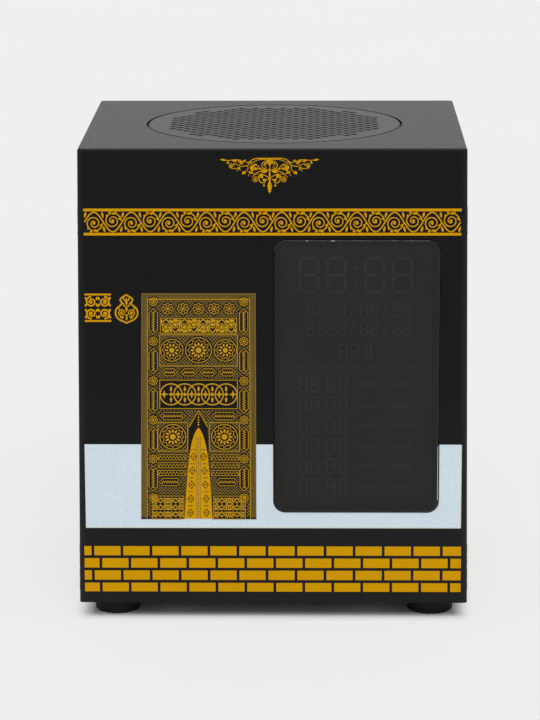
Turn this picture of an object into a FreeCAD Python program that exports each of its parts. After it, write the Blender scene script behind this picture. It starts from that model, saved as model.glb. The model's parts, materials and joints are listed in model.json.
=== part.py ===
import FreeCAD, Part
import math
import os
import re

import Sketcher
from FreeCAD import Placement, Rotation, Vector

# Azan clock: a box-shaped clock with a loudspeaker under a round grille in its top,
# a tinted display window in its front, and keys and sockets low in its back.
# Millimetres, +Z up, +X to the right, -Y to the front. The origin is the centre
# of the plane that the four feet stand on.

# Driving sizes

sizes = {
    # Housing
    "body_width": 110.0,
    "body_depth": 95.0,
    "body_height": 133.7,
    "side_draft": 1.45,
    "wall": 2.4,
    "top_thickness": 3.0,
    "corner_radius": 1.0,
    "top_edge_radius": 0.7,
    "nub_place": 12.4,
    "nub_width": 2.0,
    "nub_height": 0.6,
    # Base plate and its screws
    "base_thickness": 2.5,
    "base_clearance": 0.2,
    "base_boss_place": 28.0,
    "base_boss_inset": 5.0,
    "base_boss_radius": 3.6,
    "base_boss_height": 10.0,
    "base_boss_end": 1.0,
    "base_screw_radius": 1.5,
    "base_screw_length": 9.0,
    "base_screw_head_radius": 2.8,
    "base_screw_head_height": 1.4,
    "screw_play": 0.05,
    "head_play": 0.25,
    # Feet
    "foot_height": 5.0,
    "foot_radius": 7.4,
    "foot_tread_radius": 6.0,
    "foot_edge_height": 3.2,
    "foot_bevel_width": 1.0,
    "foot_bevel_height": 0.4,
    "foot_inset_side": 9.0,
    "foot_inset_front": 11.0,
    "foot_peg_radius": 2.5,
    "peg_play": 0.1,
    # Grille
    "grille_radius": 37.6,
    "grille_thickness": 2.0,
    "grille_gap": 0.3,
    "grille_chamfer": 0.5,
    "hole_pitch": 3.0,
    "hole_radius": 1.15,
    "hole_field_radius": 31.6,
    # Loudspeaker
    "opening_radius": 35.0,
    "collar_radius": 41.0,
    "collar_height": 5.0,
    "gasket_thickness": 1.0,
    "flange_radius": 39.0,
    "basket_gauge": 0.8,
    "basket_depth": 23.0,
    "basket_throat_radius": 32.2,
    "basket_floor_radius": 21.5,
    "basket_floor_hole_radius": 14.0,
    "basket_window_width": 20.0,
    "basket_window_height": 9.0,
    "ledge_depth": 15.0,
    "ledge_width": 4.0,
    "top_plate_radius": 22.0,
    "top_plate_thickness": 4.0,
    "magnet_radius": 26.0,
    "magnet_bore_radius": 14.0,
    "magnet_thickness": 10.0,
    "yoke_thickness": 4.0,
    "pole_radius": 9.5,
    "coil_play": 0.3,
    "former_thickness": 0.3,
    "winding_thickness": 0.4,
    "winding_height": 6.0,
    "former_overhang": 0.5,
    "neck_depth": 12.7,
    "cone_rim_radius": 28.3,
    "cone_rim_width": 1.8,
    "cone_thickness": 0.6,
    "cap_radius": 12.5,
    "cap_height": 4.0,
    "cap_thickness": 0.4,
    "roll_height": 1.7,
    "roll_thickness": 0.4,
    "lip_width": 2.0,
    "spider_thickness": 0.4,
    "spider_wave": 0.8,
    "spider_rim": 1.0,
    "speaker_screw_circle": 36.9,
    "speaker_screw_radius": 1.2,
    "speaker_screw_length": 6.0,
    "speaker_screw_head_radius": 2.0,
    "speaker_screw_head_height": 1.2,
    "terminal_radius": 34.2,
    "terminal_width": 14.0,
    "terminal_height": 9.0,
    "terminal_thickness": 1.0,
    "lug_spacing": 6.0,
    "lug_width": 2.4,
    "lug_length": 5.0,
    "lug_thickness": 0.5,
    # Display
    "window_place": 24.0,
    "window_low_margin": 27.65,
    "window_top_margin": 26.15,
    "window_width": 47.2,
    "window_radius": 3.1,
    "window_thickness": 1.8,
    "window_recess": 1.4,
    "window_gap": 0.15,
    "window_chamfer": 0.3,
    "window_ledge": 2.4,
    "tape_thickness": 0.2,
    "tape_width": 1.8,
    "tape_inset": 0.3,
    "diffuser_thickness": 0.4,
    "reflector_width": 44.8,
    "reflector_inset": 1.2,
    "reflector_thickness": 6.0,
    "board_thickness": 1.6,
    "display_board_width": 50.0,
    "display_board_overhang": 7.05,
    "display_boss_spacing": 38.0,
    "display_boss_overhang": 3.55,
    "display_boss_radius": 2.8,
    "small_screw_radius": 1.1,
    "small_screw_length": 6.0,
    "small_screw_head_radius": 2.1,
    "small_screw_head_height": 1.3,
    "board_hole_play": 0.2,
    "led_size": 0.8,
    "led_height": 0.6,
    "receiver_width": 6.0,
    "receiver_height": 5.0,
    "receiver_depth": 4.5,
    "receiver_play": 0.5,
    "plug_width": 13.0,
    "plug_height": 5.0,
    "plug_depth": 5.5,
    "plug_place": 15.0,
    "plug_rise": 48.0,
    "cable_width": 10.0,
    "cable_thickness": 1.0,
    "cable_overhang": 7.0,
    "cable_bend": 12.0,
    # Main board
    "main_board_width": 96.0,
    "main_board_depth": 50.0,
    "main_board_gap": 0.9,
    "post_height": 12.5,
    "post_radius": 3.0,
    "post_spacing": 84.0,
    "post_front": 3.8,
    "post_pitch": 26.0,
    "connector_height": 6.0,
    "connector_depth": 5.0,
    "connector_wall": 0.8,
    "small_plug_width": 8.0,
    "display_plug_inset": 0.5,
    "battery_plug_x": -14.0,
    "battery_plug_inset": 1.0,
    "speaker_plug_x": 18.0,
    "speaker_plug_inset": 30.0,
    # Parts on the main board, each placed from the board's middle and front edge
    "audio_chip_x": -9.0,
    "audio_chip_inset": 20.0,
    "audio_chip_side": 10.0,
    "audio_chip_height": 1.4,
    "amplifier_x": 8.5,
    "amplifier_inset": 24.0,
    "amplifier_side": 5.5,
    "amplifier_height": 1.5,
    "module_x": -27.5,
    "module_inset": 2.0,
    "module_width": 13.0,
    "module_depth": 18.0,
    "module_height": 2.4,
    "crystal_x": -2.0,
    "crystal_inset": 32.0,
    "crystal_radius": 1.0,
    "crystal_length": 6.0,
    "coin_cell_x": 31.0,
    "coin_cell_inset": 21.5,
    "coin_cell_radius": 6.25,
    "coin_cell_thickness": 2.0,
    "coin_cell_play": 0.25,
    "coin_holder_side": 15.6,
    "coin_holder_floor": 1.0,
    "coin_holder_height": 3.2,
    "capacitor_x": -16.0,
    "capacitor_inset": 11.0,
    "capacitor_pitch": 8.0,
    "capacitor_radius": 3.2,
    "capacitor_height": 7.5,
    "sensor_x": 28.0,
    "sensor_inset": 5.0,
    "sensor_radius": 2.3,
    "sensor_height": 4.6,
    "sensor_flat_place": 1.4,
    # Sockets, switch and keys at the back
    "aux_place": -42.0,
    "aux_width": 7.0,
    "aux_depth": 12.0,
    "aux_height": 5.0,
    "aux_nose_radius": 2.4,
    "aux_bore_radius": 1.8,
    "aux_nose_length": 2.3,
    "card_place": -28.0,
    "card_socket_width": 14.0,
    "card_socket_depth": 14.5,
    "card_socket_height": 1.9,
    "card_width": 11.4,
    "card_slot_height": 1.0,
    "power_place": -13.0,
    "power_width": 8.94,
    "power_height": 3.26,
    "power_depth": 7.4,
    "power_shell": 0.3,
    "power_reach": 1.6,
    "power_flat": 0.05,
    "power_tongue_width": 6.7,
    "power_tongue_height": 0.7,
    "port_play": 0.3,
    "socket_wall": 1.0,
    "switch_place": 1.0,
    "switch_width": 8.6,
    "switch_depth": 3.6,
    "switch_height": 3.6,
    "switch_lip": 0.6,
    "switch_travel": 2.0,
    "knob_width": 2.0,
    "knob_height": 2.0,
    "knob_reach": 1.0,
    "shoe_width": 4.0,
    "shoe_depth": 1.2,
    "shoe_height": 2.6,
    "slide_play": 0.2,
    "key_place": 14.0,
    "key_pitch": 9.0,
    "key_rise": 3.6,
    "key_travel": 0.4,
    "key_cap_width": 5.0,
    "key_cap_height": 4.4,
    "key_cap_radius": 1.5,
    "key_cap_reach": 0.8,
    "key_flange_width": 7.0,
    "key_flange_height": 6.2,
    "key_flange_thickness": 0.8,
    "key_play": 0.25,
    "key_stem_radius": 1.2,
    "key_stem_length": 0.7,
    "tact_width": 6.0,
    "tact_height": 6.4,
    "tact_depth": 3.5,
    "plunger_radius": 1.2,
    "plunger_length": 2.2,
    "plunger_exposed": 1.0,
    "plunger_play": 0.1,
    # Battery
    "cell_radius": 9.25,
    "cell_length": 65.0,
    "cell_lift": 0.8,
    "cell_front_gap": 19.1,
    "cell_play": 0.15,
    "cell_button_radius": 3.0,
    "cell_button_height": 0.8,
    "saddle_place": 22.0,
    "saddle_thickness": 4.0,
    "saddle_width": 14.0,
    "saddle_height": 5.5,
    "clamp_width": 10.0,
    "clamp_thickness": 1.0,
    "clamp_foot": 6.0,
    "clamp_play": 0.1,
    "clamp_screw_length": 3.0,
    "clamp_hole_floor": 0.4,
    # Wires
    "wire_radius": 0.6,
}

# Places worked out from the driving sizes

places = {
    "body_bottom": "foot_height",
    "body_top": "foot_height + body_height",
    "front_face": "-body_depth / 2",
    "back_face": "body_depth / 2",
    "inner_front": "front_face + wall",
    "inner_back": "back_face - wall",
    "inner_top": "body_top - top_thickness",
    "half_width": "body_width / 2",
    "plate_top": "body_bottom + base_thickness",
    "plate_side": "half_width + side_draft * (body_top - plate_top) / body_height - wall - base_clearance",
    "plate_back": "inner_back - base_clearance",
    "base_boss_depth": "inner_back - base_boss_inset",
    "foot_side": "half_width - foot_inset_side",
    "foot_depth": "back_face - foot_inset_front",
    "grille_bottom": "body_top - grille_thickness",
    "collar_bottom": "inner_top - collar_height",
    "flange_top": "collar_bottom - gasket_thickness",
    "flange_bottom": "flange_top - basket_gauge",
    "basket_bottom": "flange_top - basket_depth",
    "ledge_level": "flange_top - ledge_depth",
    "ledge_radius": "basket_floor_radius + ledge_width",
    "top_plate_bottom": "basket_bottom - top_plate_thickness",
    "magnet_bottom": "top_plate_bottom - magnet_thickness",
    "yoke_bottom": "magnet_bottom - yoke_thickness",
    "former_inner": "pole_radius + coil_play",
    "former_outer": "former_inner + former_thickness",
    "winding_outer": "former_outer + winding_thickness",
    "gap_radius": "winding_outer + coil_play",
    "winding_bottom": "basket_bottom - top_plate_thickness / 2 - winding_height / 2",
    "former_bottom": "winding_bottom - former_overhang",
    "neck_level": "flange_top - neck_depth",
    "cone_slope": "(neck_depth - cone_thickness) / (cone_rim_radius - cone_rim_width - former_outer)",
    "cap_level": "neck_level + cone_thickness + (cap_radius - former_outer) * cone_slope",
    "cap_curve": "(cap_radius ^ 2 + cap_height ^ 2) / (2 * cap_height)",
    "roll_half": "(basket_throat_radius - cone_rim_radius) / 2",
    "roll_curve": "(roll_half ^ 2 + roll_height ^ 2) / (2 * roll_height)",
    "window_height": "body_height - window_low_margin - window_top_margin",
    "window_level": "body_bottom + window_low_margin + window_height / 2",
    "reflector_height": "window_height - 2 * reflector_inset",
    "display_board_height": "window_height + 2 * display_board_overhang",
    "display_boss_height": "window_height + 2 * display_boss_overhang",
    "window_back": "front_face + window_recess - tape_thickness",
    "diffuser_back": "inner_front + diffuser_thickness",
    "reflector_back": "diffuser_back + reflector_thickness",
    "display_board_back": "reflector_back + board_thickness",
    "main_board_bottom": "plate_top + post_height",
    "main_board_top": "main_board_bottom + board_thickness",
    "main_board_back": "inner_back - main_board_gap",
    "main_board_front": "main_board_back - main_board_depth",
    "post_first": "main_board_front + post_front",
    "aux_level": "main_board_top + aux_height / 2",
    "card_level": "main_board_top + card_socket_height / 2",
    "power_level": "main_board_top + power_height / 2",
    "switch_level": "main_board_top + switch_height / 2",
    "switch_back": "main_board_back",
    "key_level": "main_board_top + key_rise",
    "flange_inner": "inner_back - key_flange_thickness",
    "stem_tip": "flange_inner - key_stem_length",
    "tact_back": "stem_tip - plunger_exposed",
    "cell_place": "inner_front + cell_front_gap",
    "cell_level": "plate_top + cell_lift + cell_radius",
    "clamp_inner": "cell_radius + clamp_play",
    "clamp_outer": "clamp_inner + clamp_thickness",
    "clamp_screw_place": "clamp_outer + clamp_foot / 2",
    "plug_level": "body_bottom + plug_rise",
}

document = FreeCAD.newDocument("azan_clock")
size_sheet = document.addObject("Spreadsheet::Sheet", "Sizes")
place_sheet = document.addObject("Spreadsheet::Sheet", "Places")


def formula(text):
    """A formula with each named size or place written as its cell."""

    def cell(match):
        word = match.group()
        if word in sizes:
            return "Sizes." + word
        if word in places:
            return "Places." + word
        return word

    return re.sub(r"[a-z_]+", cell, str(text))


def fill(sheet, cells):
    """One row for each cell: its name, then its content with the name as alias."""
    for row, (name, content) in enumerate(cells.items(), start=1):
        sheet.set(f"A{row}", name)
        sheet.set(f"B{row}", content)
        sheet.setAlias(f"B{row}", name)


fill(size_sheet, {name: str(number) for name, number in sizes.items()})
document.recompute()
fill(place_sheet, {name: "=" + formula(text) for name, text in places.items()})
document.recompute()


def value(text):
    """The number that a formula gives now."""
    return float(size_sheet.evalExpression(formula(text)))


def tie(item, path, text):
    """Ties one property of an object to a formula."""
    item.setExpression(path, formula(text))


def bind(item, **formulas):
    """Ties properties to formulas by their names."""
    for name, text in formulas.items():
        tie(item, name, text)


def bind_place(item, place):
    """Ties the three coordinates of an object's place."""
    for axis, text in zip("xyz", place):
        tie(item, f"Placement.Base.{axis}", text)


# Plain solids

turned = {
    "x": Rotation(Vector(0, 1, 0), 90),
    "y": Rotation(Vector(1, 0, 0), -90),
    "z": Rotation(),
}
pieces = []


def piece(item):
    """Notes an object as one of the clock's pieces."""
    pieces.append(item)
    return item


def block(name, low, size):
    """A block from its low corner and its three sizes."""
    item = document.addObject("Part::Box", name)
    bind(item, Length=size[0], Width=size[1], Height=size[2])
    bind_place(item, low)
    return item


def centred_block(name, x, y_low, z_low, size):
    """A block that is centred on x and starts at y_low and z_low."""
    return block(name, (f"{x} - ({size[0]}) / 2", y_low, z_low), size)


def rod(name, start, radius, length, axis="z"):
    """A cylinder from the centre of its start face, along an axis."""
    item = document.addObject("Part::Cylinder", name)
    item.Placement = Placement(Vector(), turned[axis])
    bind(item, Radius=radius, Height=length)
    bind_place(item, start)
    return item


def cut(name, base, *tools):
    """A solid with others taken out of it."""
    for number, tool in enumerate(tools, start=1):
        last = number == len(tools)
        item = document.addObject("Part::Cut", name if last else f"{name}_cut")
        item.Base = base
        item.Tool = tool
        base = item
    return base


def union(name, parts):
    """Solids joined to one."""
    item = document.addObject("Part::MultiFuse", name)
    item.Shapes = parts
    return item


def group(name, parts):
    """Like solids that stay apart and share one name."""
    item = document.addObject("Part::Compound", name)
    item.Links = parts
    return item


# Bodies made from sketches


def new_body(name, place=("0", "0", "0")):
    """An empty body at its place."""
    body = document.addObject("PartDesign::Body", name)
    bind_place(body, place)
    return body


def new_sketch(body, role, offset="0"):
    """A sketch parallel to one of the body's own planes, an offset along its normal away."""
    sketch = body.newObject("Sketcher::SketchObject", f"{body.Name}_sketch")
    plane = next(item for item in body.Origin.OriginFeatures if item.Role == role)
    sketch.AttachmentSupport = [(plane, "")]
    sketch.MapMode = "FlatFace"
    tie(sketch, "AttachmentOffset.Base.z", offset)
    return sketch


def constrain(sketch, text, kind, *where):
    """A named constraint that follows a formula."""
    name = f"{kind}{sketch.ConstraintCount}"
    index = sketch.addConstraint(Sketcher.Constraint(kind, *where, value(text)))
    sketch.renameConstraint(index, name)
    tie(sketch, f"Constraints.{name}", text)


def arc_between(start, end, radius):
    """The arc from start to end: counter-clockwise where radius is above 0, else clockwise."""
    chord = end - start
    half = chord.Length / 2
    rise = math.sqrt(max(radius * radius - half * half, 0.0))
    left = Vector(-chord.y, chord.x, 0).normalize()
    centre = (start + end) / 2 + left * math.copysign(rise, radius)
    first, last = (start, end) if radius > 0 else (end, start)
    begin = math.atan2(first.y - centre.y, first.x - centre.x)
    finish = math.atan2(last.y - centre.y, last.x - centre.x)
    circle = Part.Circle(centre, Vector(0, 0, 1), abs(radius))
    return Part.ArcOfCircle(circle, begin, finish)


def outline(sketch, corners):
    """A closed outline. A third entry of a corner is the signed radius of its arc to the next."""
    first = sketch.GeometryCount
    count = len(corners)
    points = [Vector(value(corner[0]), value(corner[1]), 0) for corner in corners]
    ends = []
    for index, corner in enumerate(corners):
        start = points[index]
        end = points[(index + 1) % count]
        if len(corner) > 2:
            radius = value(corner[2])
            sketch.addGeometry(arc_between(start, end, radius), False)
            ends.append((1, 2) if radius > 0 else (2, 1))
        else:
            sketch.addGeometry(Part.LineSegment(start, end), False)
            ends.append((1, 2))
    for index, corner in enumerate(corners):
        after = (index + 1) % count
        place = (first + index, ends[index][0])
        joint = (first + index, ends[index][1], first + after, ends[after][0])
        sketch.addConstraint(Sketcher.Constraint("Coincident", *joint))
        constrain(sketch, corner[0], "DistanceX", -1, 1, *place)
        constrain(sketch, corner[1], "DistanceY", -1, 1, *place)
        if len(corner) > 2:
            constrain(sketch, f"abs({corner[2]})", "Radius", first + index)


def circle(sketch, x, y, radius):
    """A circle at its place in a sketch."""
    centre = Vector(value(x), value(y), 0)
    index = sketch.addGeometry(Part.Circle(centre, Vector(0, 0, 1), value(radius)), False)
    constrain(sketch, x, "DistanceX", -1, 1, index, 3)
    constrain(sketch, y, "DistanceY", -1, 1, index, 3)
    constrain(sketch, radius, "Radius", index)


def rectangle(sketch, x, y, width, height):
    """A rectangle about its centre."""
    left, right = f"{x} - ({width}) / 2", f"{x} + ({width}) / 2"
    low, high = f"{y} - ({height}) / 2", f"{y} + ({height}) / 2"
    outline(sketch, [(left, low), (right, low), (right, high), (left, high)])


def rounded_rectangle(sketch, x, y, width, height, radius):
    """A rectangle about its centre, with round corners."""
    left, right = f"{x} - ({width}) / 2", f"{x} + ({width}) / 2"
    low, high = f"{y} - ({height}) / 2", f"{y} + ({height}) / 2"
    corners = [
        (f"{left} + {radius}", low),
        (f"{right} - {radius}", low, radius),
        (right, f"{low} + {radius}"),
        (right, f"{high} - {radius}", radius),
        (f"{right} - {radius}", high),
        (f"{left} + {radius}", high, radius),
        (left, f"{high} - {radius}"),
        (left, f"{low} + {radius}", radius),
    ]
    outline(sketch, corners)


def feature(body, kind, sketch, length, backwards, both):
    """A pad or pocket of a sketch."""
    item = body.newObject(f"PartDesign::{kind}", f"{body.Name}_{kind.lower()}")
    item.Profile = sketch
    item.Reversed = backwards
    if both:
        item.SideType = "Symmetric"
    bind(item, Length=length)
    document.recompute()
    return item


def pad(body, sketch, length, backwards=False, both=False):
    """Adds a sketch's area, drawn out along its normal."""
    return feature(body, "Pad", sketch, length, backwards, both)


def pocket(body, sketch, length, backwards=False, both=False):
    """Takes a sketch's area out, against its normal, and checks that it met the solid."""
    before = body.Shape.Volume
    item = feature(body, "Pocket", sketch, length, backwards, both)
    if item.Shape.Volume > before - 1e-3:
        raise RuntimeError(f"{item.Name} takes nothing out")
    return item


def revolve(body, sketch):
    """Turns a sketch about its upright axis."""
    item = body.newObject("PartDesign::Revolution", f"{body.Name}_revolution")
    item.Profile = sketch
    item.ReferenceAxis = (sketch, ["V_Axis"])
    item.Angle = 360
    document.recompute()
    return item


def polar(body, original, sketch, count):
    """Repeats a feature round the normal of its sketch."""
    item = body.newObject("PartDesign::PolarPattern", f"{body.Name}_pattern")
    item.Originals = [original]
    item.Axis = (sketch, ["N_Axis"])
    item.Angle = 360
    item.Occurrences = count
    body.Tip = item
    document.recompute()
    return item


def edge_names(item, wanted):
    """The names of the edges whose two ends both pass a test."""
    names = []
    for number, edge in enumerate(item.Shape.Edges, start=1):
        if all(wanted(vertex.Point) for vertex in edge.Vertexes):
            names.append(f"Edge{number}")
    return names


def soften(body, kind, base, names, size):
    """A fillet or chamfer on named edges."""
    item = body.newObject(f"PartDesign::{kind}", f"{body.Name}_{kind.lower()}")
    item.Base = (base, names)
    bind(item, **{"Radius" if kind == "Fillet" else "Size": size})
    document.recompute()
    return item


def turned_piece(name, corners, place=("0", "0", "0")):
    """A body turned about its own upright axis from (radius, height) corners."""
    body = new_body(name, place)
    sketch = new_sketch(body, "XZ_Plane")
    outline(sketch, corners)
    revolve(body, sketch)
    return body


def ring(inner, outer, low, high):
    """The corners of a plain ring's section."""
    return [(inner, low), (outer, low), (outer, high), (inner, high)]


# The signs of the four corners of a plan, and its mirrored places

corner_signs = [(-1, -1), (1, -1), (-1, 1), (1, 1)]
key_names = ["next", "play", "previous", "mode"]
foot_names = ["front_left", "front_right", "rear_left", "rear_right"]

# The two sides of each slot of a screw's cross, as shares of the shank's radius

cross_long_share = 1.8
cross_slim_share = 0.35


def key_x(index):
    """The place of a key across the back."""
    return f"(key_place + {index} * key_pitch)"


# Housing


def housing_side(level):
    """Half the width of the housing at a level, outside."""
    return f"half_width + side_draft * (body_top - ({level})) / body_height"


def add_housing_shell(body):
    """The drafted box with its round corners, hollow and open below."""
    sketch = new_sketch(body, "XZ_Plane")
    low = housing_side("body_bottom")
    outline(sketch, [
        (f"-({low})", "body_bottom"),
        (low, "body_bottom"),
        ("half_width", "body_top"),
        ("-half_width", "body_top"),
    ])
    box = pad(body, sketch, "body_depth", both=True)
    middle = value("body_bottom + body_height / 2")
    upright = []
    for number, edge in enumerate(box.Shape.Edges, start=1):
        heights = sorted(vertex.Z for vertex in edge.Vertexes)
        if heights[0] < middle < heights[1]:
            upright.append(f"Edge{number}")
    rounded = soften(body, "Fillet", box, upright, "corner_radius")
    top = value("body_top")
    rim = edge_names(rounded, lambda point: abs(point.z - top) < 1e-4)
    soften(body, "Fillet", rounded, rim, "top_edge_radius")

    hollow = new_sketch(body, "XZ_Plane")
    low = housing_side("0") + " - wall"
    high = housing_side("inner_top") + " - wall"
    outline(hollow, [
        (f"-({low})", "0"),
        (low, "0"),
        (high, "inner_top"),
        (f"-({high})", "inner_top"),
    ])
    pocket(body, hollow, "body_depth - 2 * wall", both=True)


def add_speaker_collar(body):
    """The collar under the top, its opening, the grille's recess and the screw holes."""
    collar = new_sketch(body, "XY_Plane", "collar_bottom")
    circle(collar, "0", "0", "collar_radius")
    pad(body, collar, "collar_height")
    opening = new_sketch(body, "XY_Plane", "body_top")
    circle(opening, "0", "0", "opening_radius")
    pocket(body, opening, "top_thickness + collar_height")
    recess = new_sketch(body, "XY_Plane", "body_top")
    circle(recess, "0", "0", "grille_radius + grille_gap")
    pocket(body, recess, "grille_thickness")
    screw_hole = new_sketch(body, "XY_Plane", "collar_bottom")
    radius = "speaker_screw_radius + screw_play"
    circle(screw_hole, "speaker_screw_circle", "0", radius)
    hole = pocket(body, screw_hole, "speaker_screw_length", backwards=True)
    polar(body, hole, screw_hole, 4)


def add_window_seat(body):
    """The recess for the window, the opening behind it, and the bosses for the display."""
    recess = new_sketch(body, "XZ_Plane", "-front_face")
    grow = "2 * window_gap"
    rounded_rectangle(
        recess, "window_place", "window_level",
        f"window_width + {grow}", f"window_height + {grow}", "(window_radius + window_gap)",
    )
    pocket(body, recess, "window_recess")
    opening = new_sketch(body, "XZ_Plane", "-front_face")
    rectangle(
        opening, "window_place", "window_level",
        "window_width - 2 * window_ledge", "window_height - 2 * window_ledge",
    )
    pocket(body, opening, "wall")
    bosses = new_sketch(body, "XZ_Plane", "-inner_front")
    holes = new_sketch(body, "XZ_Plane", "-reflector_back")
    for side, rise in corner_signs:
        x = f"window_place + {side} * display_boss_spacing / 2"
        y = f"window_level + {rise} * display_boss_height / 2"
        circle(bosses, x, y, "display_boss_radius")
        circle(holes, x, y, "small_screw_radius + screw_play")
    pad(body, bosses, "diffuser_thickness + reflector_thickness", backwards=True)
    pocket(body, holes, "diffuser_thickness + reflector_thickness", backwards=True)


def add_base_bosses(body):
    """The screw bosses for the base plate, tied to the front and back walls by ribs."""
    bosses = new_sketch(body, "XY_Plane", "plate_top")
    holes = new_sketch(body, "XY_Plane", "plate_top")
    for side, back in corner_signs:
        x, y = f"{side} * base_boss_place", f"{back} * base_boss_depth"
        circle(bosses, x, y, "base_boss_radius")
        circle(holes, x, y, "base_screw_radius + screw_play")
    pad(body, bosses, "base_boss_height")
    ribs = new_sketch(body, "XY_Plane", "plate_top")
    for side, back in corner_signs:
        rib_middle = f"{back} * (base_boss_depth + (base_boss_inset + wall / 2) / 2)"
        rectangle(ribs, f"{side} * base_boss_place", rib_middle, "wall", "base_boss_inset + wall / 2")
    pad(body, ribs, "base_boss_height")
    pocket(body, holes, "base_boss_height - base_boss_end", backwards=True)


def add_back_openings(body):
    """The holes low in the back for the sockets, the switch and the keys."""
    sketch = new_sketch(body, "XZ_Plane", "-back_face")
    circle(sketch, "aux_place", "aux_level", "aux_nose_radius + port_play")
    rectangle(
        sketch, "card_place", "card_level",
        "card_width + 2 * port_play", "card_slot_height + 2 * port_play",
    )
    rounded_rectangle(
        sketch, "power_place", "power_level",
        "power_width + 2 * port_play", "power_height + 2 * port_play", "power_height / 2",
    )
    rectangle(
        sketch, "switch_place", "switch_level",
        "knob_width + switch_travel + 2 * port_play", "knob_height + 2 * port_play",
    )
    for index in range(len(key_names)):
        rounded_rectangle(
            sketch, key_x(index), "key_level",
            "key_cap_width + 2 * key_play", "key_cap_height + 2 * key_play", "(key_cap_radius + key_play)",
        )
    pocket(body, sketch, "wall", backwards=True)


def add_nub(body):
    """A small moulding nub under the front wall."""
    sketch = new_sketch(body, "XY_Plane", "body_bottom")
    rectangle(sketch, "nub_place", "front_face + wall / 2", "nub_width", "wall / 2")
    pad(body, sketch, "nub_height", backwards=True)


def make_housing():
    """The one-piece housing."""
    body = piece(new_body("housing"))
    add_housing_shell(body)
    add_speaker_collar(body)
    add_window_seat(body)
    add_base_bosses(body)
    add_back_openings(body)
    add_nub(body)


# Base plate, feet and base screws


def make_base_plate():
    """The plate that closes the housing from below, with posts and battery saddles."""
    body = piece(new_body("base_plate"))
    plate = new_sketch(body, "XY_Plane", "body_bottom")
    rounded_rectangle(plate, "0", "0", "2 * plate_side", "2 * plate_back", "corner_radius")
    pad(body, plate, "base_thickness")

    counterbores = new_sketch(body, "XY_Plane", "body_bottom")
    through_holes = new_sketch(body, "XY_Plane", "body_bottom")
    for side, back in corner_signs:
        x, y = f"{side} * base_boss_place", f"{back} * base_boss_depth"
        circle(counterbores, x, y, "base_screw_head_radius + head_play")
        circle(through_holes, x, y, "base_screw_radius + head_play")
        peg_x, peg_y = f"{side} * foot_side", f"{back} * foot_depth"
        circle(through_holes, peg_x, peg_y, "foot_peg_radius + peg_play")
    pocket(body, counterbores, "base_screw_head_height", backwards=True)
    pocket(body, through_holes, "base_thickness", backwards=True)

    posts = new_sketch(body, "XY_Plane", "plate_top")
    post_holes = new_sketch(body, "XY_Plane", "main_board_bottom")
    for x, y in post_places():
        circle(posts, x, y, "post_radius")
        circle(post_holes, x, y, "small_screw_radius + screw_play")
    pad(body, posts, "post_height")
    pocket(body, post_holes, "small_screw_length")

    saddles = new_sketch(body, "XY_Plane", "plate_top")
    for side in (-1, 1):
        rectangle(saddles, f"{side} * saddle_place", "cell_place", "saddle_thickness", "saddle_width")
    pad(body, saddles, "saddle_height")
    trough = new_sketch(body, "YZ_Plane")
    circle(trough, "cell_place", "cell_level", "cell_radius + cell_play")
    pocket(body, trough, "2 * saddle_place + 2 * saddle_thickness", both=True)

    clamp_holes = new_sketch(body, "XY_Plane", "plate_top")
    for side in (-1, 1):
        y = f"cell_place + {side} * clamp_screw_place"
        circle(clamp_holes, "0", y, "small_screw_radius + screw_play")
    pocket(body, clamp_holes, "base_thickness - clamp_hole_floor")


def post_places():
    """The places of the main board's four posts."""
    rows = ["post_first", "(post_first + post_pitch)"]
    return [(f"{side} * post_spacing / 2", row) for row in rows for side in (-1, 1)]


def make_feet():
    """Four rubber feet, each with a peg pressed up into the base plate."""
    corners = [
        ("0", "0"),
        ("foot_tread_radius - foot_bevel_width", "0"),
        ("foot_tread_radius", "foot_bevel_height"),
        ("foot_radius", "foot_edge_height"),
        ("foot_radius", "foot_height"),
        ("foot_peg_radius", "foot_height"),
        ("foot_peg_radius", "plate_top"),
        ("0", "plate_top"),
    ]
    for name, (side, back) in zip(foot_names, corner_signs):
        place = (f"{side} * foot_side", f"{back} * foot_depth", "0")
        piece(turned_piece(f"foot_{name}", corners, place))


def upright_screw(name, place, head, shank, downwards):
    """A pan-head screw along Z. The place is under its head, where it meets what it holds."""
    x, y, z = place
    head_radius, head_height = head
    shank_radius, shank_length = shank
    head_low = z if downwards else f"{z} - {head_height}"
    shank_low = f"{z} - {shank_length}" if downwards else z
    cap = rod(f"{name}_head", (x, y, head_low), head_radius, head_height)
    stem = rod(f"{name}_shank", (x, y, shank_low), shank_radius, shank_length)
    whole = union(f"{name}_blank", [cap, stem])
    slot_low = f"{z} + {head_height} / 2" if downwards else f"{z} - {head_height}"
    cuts = []
    for across, along in ((cross_long_share, cross_slim_share), (cross_slim_share, cross_long_share)):
        width, depth = f"{across} * {shank_radius}", f"{along} * {shank_radius}"
        low = (f"{x} - {width} / 2", f"{y} - {depth} / 2", slot_low)
        cuts.append(block(f"{name}_slot", low, (width, depth, f"{head_height} / 2")))
    return cut(name, whole, *cuts)


def make_base_screws():
    """Four screws that hold the base plate, their heads sunk in its underside."""
    screws = []
    for index, (side, back) in enumerate(corner_signs):
        place = (
            f"{side} * base_boss_place",
            f"{back} * base_boss_depth",
            "(body_bottom + base_screw_head_height)",
        )
        head = ("base_screw_head_radius", "base_screw_head_height")
        shank = ("base_screw_radius", "base_screw_length")
        screws.append(upright_screw(f"base_screw_{index}", place, head, shank, False))
    piece(group("base_screws", screws))


# Grille


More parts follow.
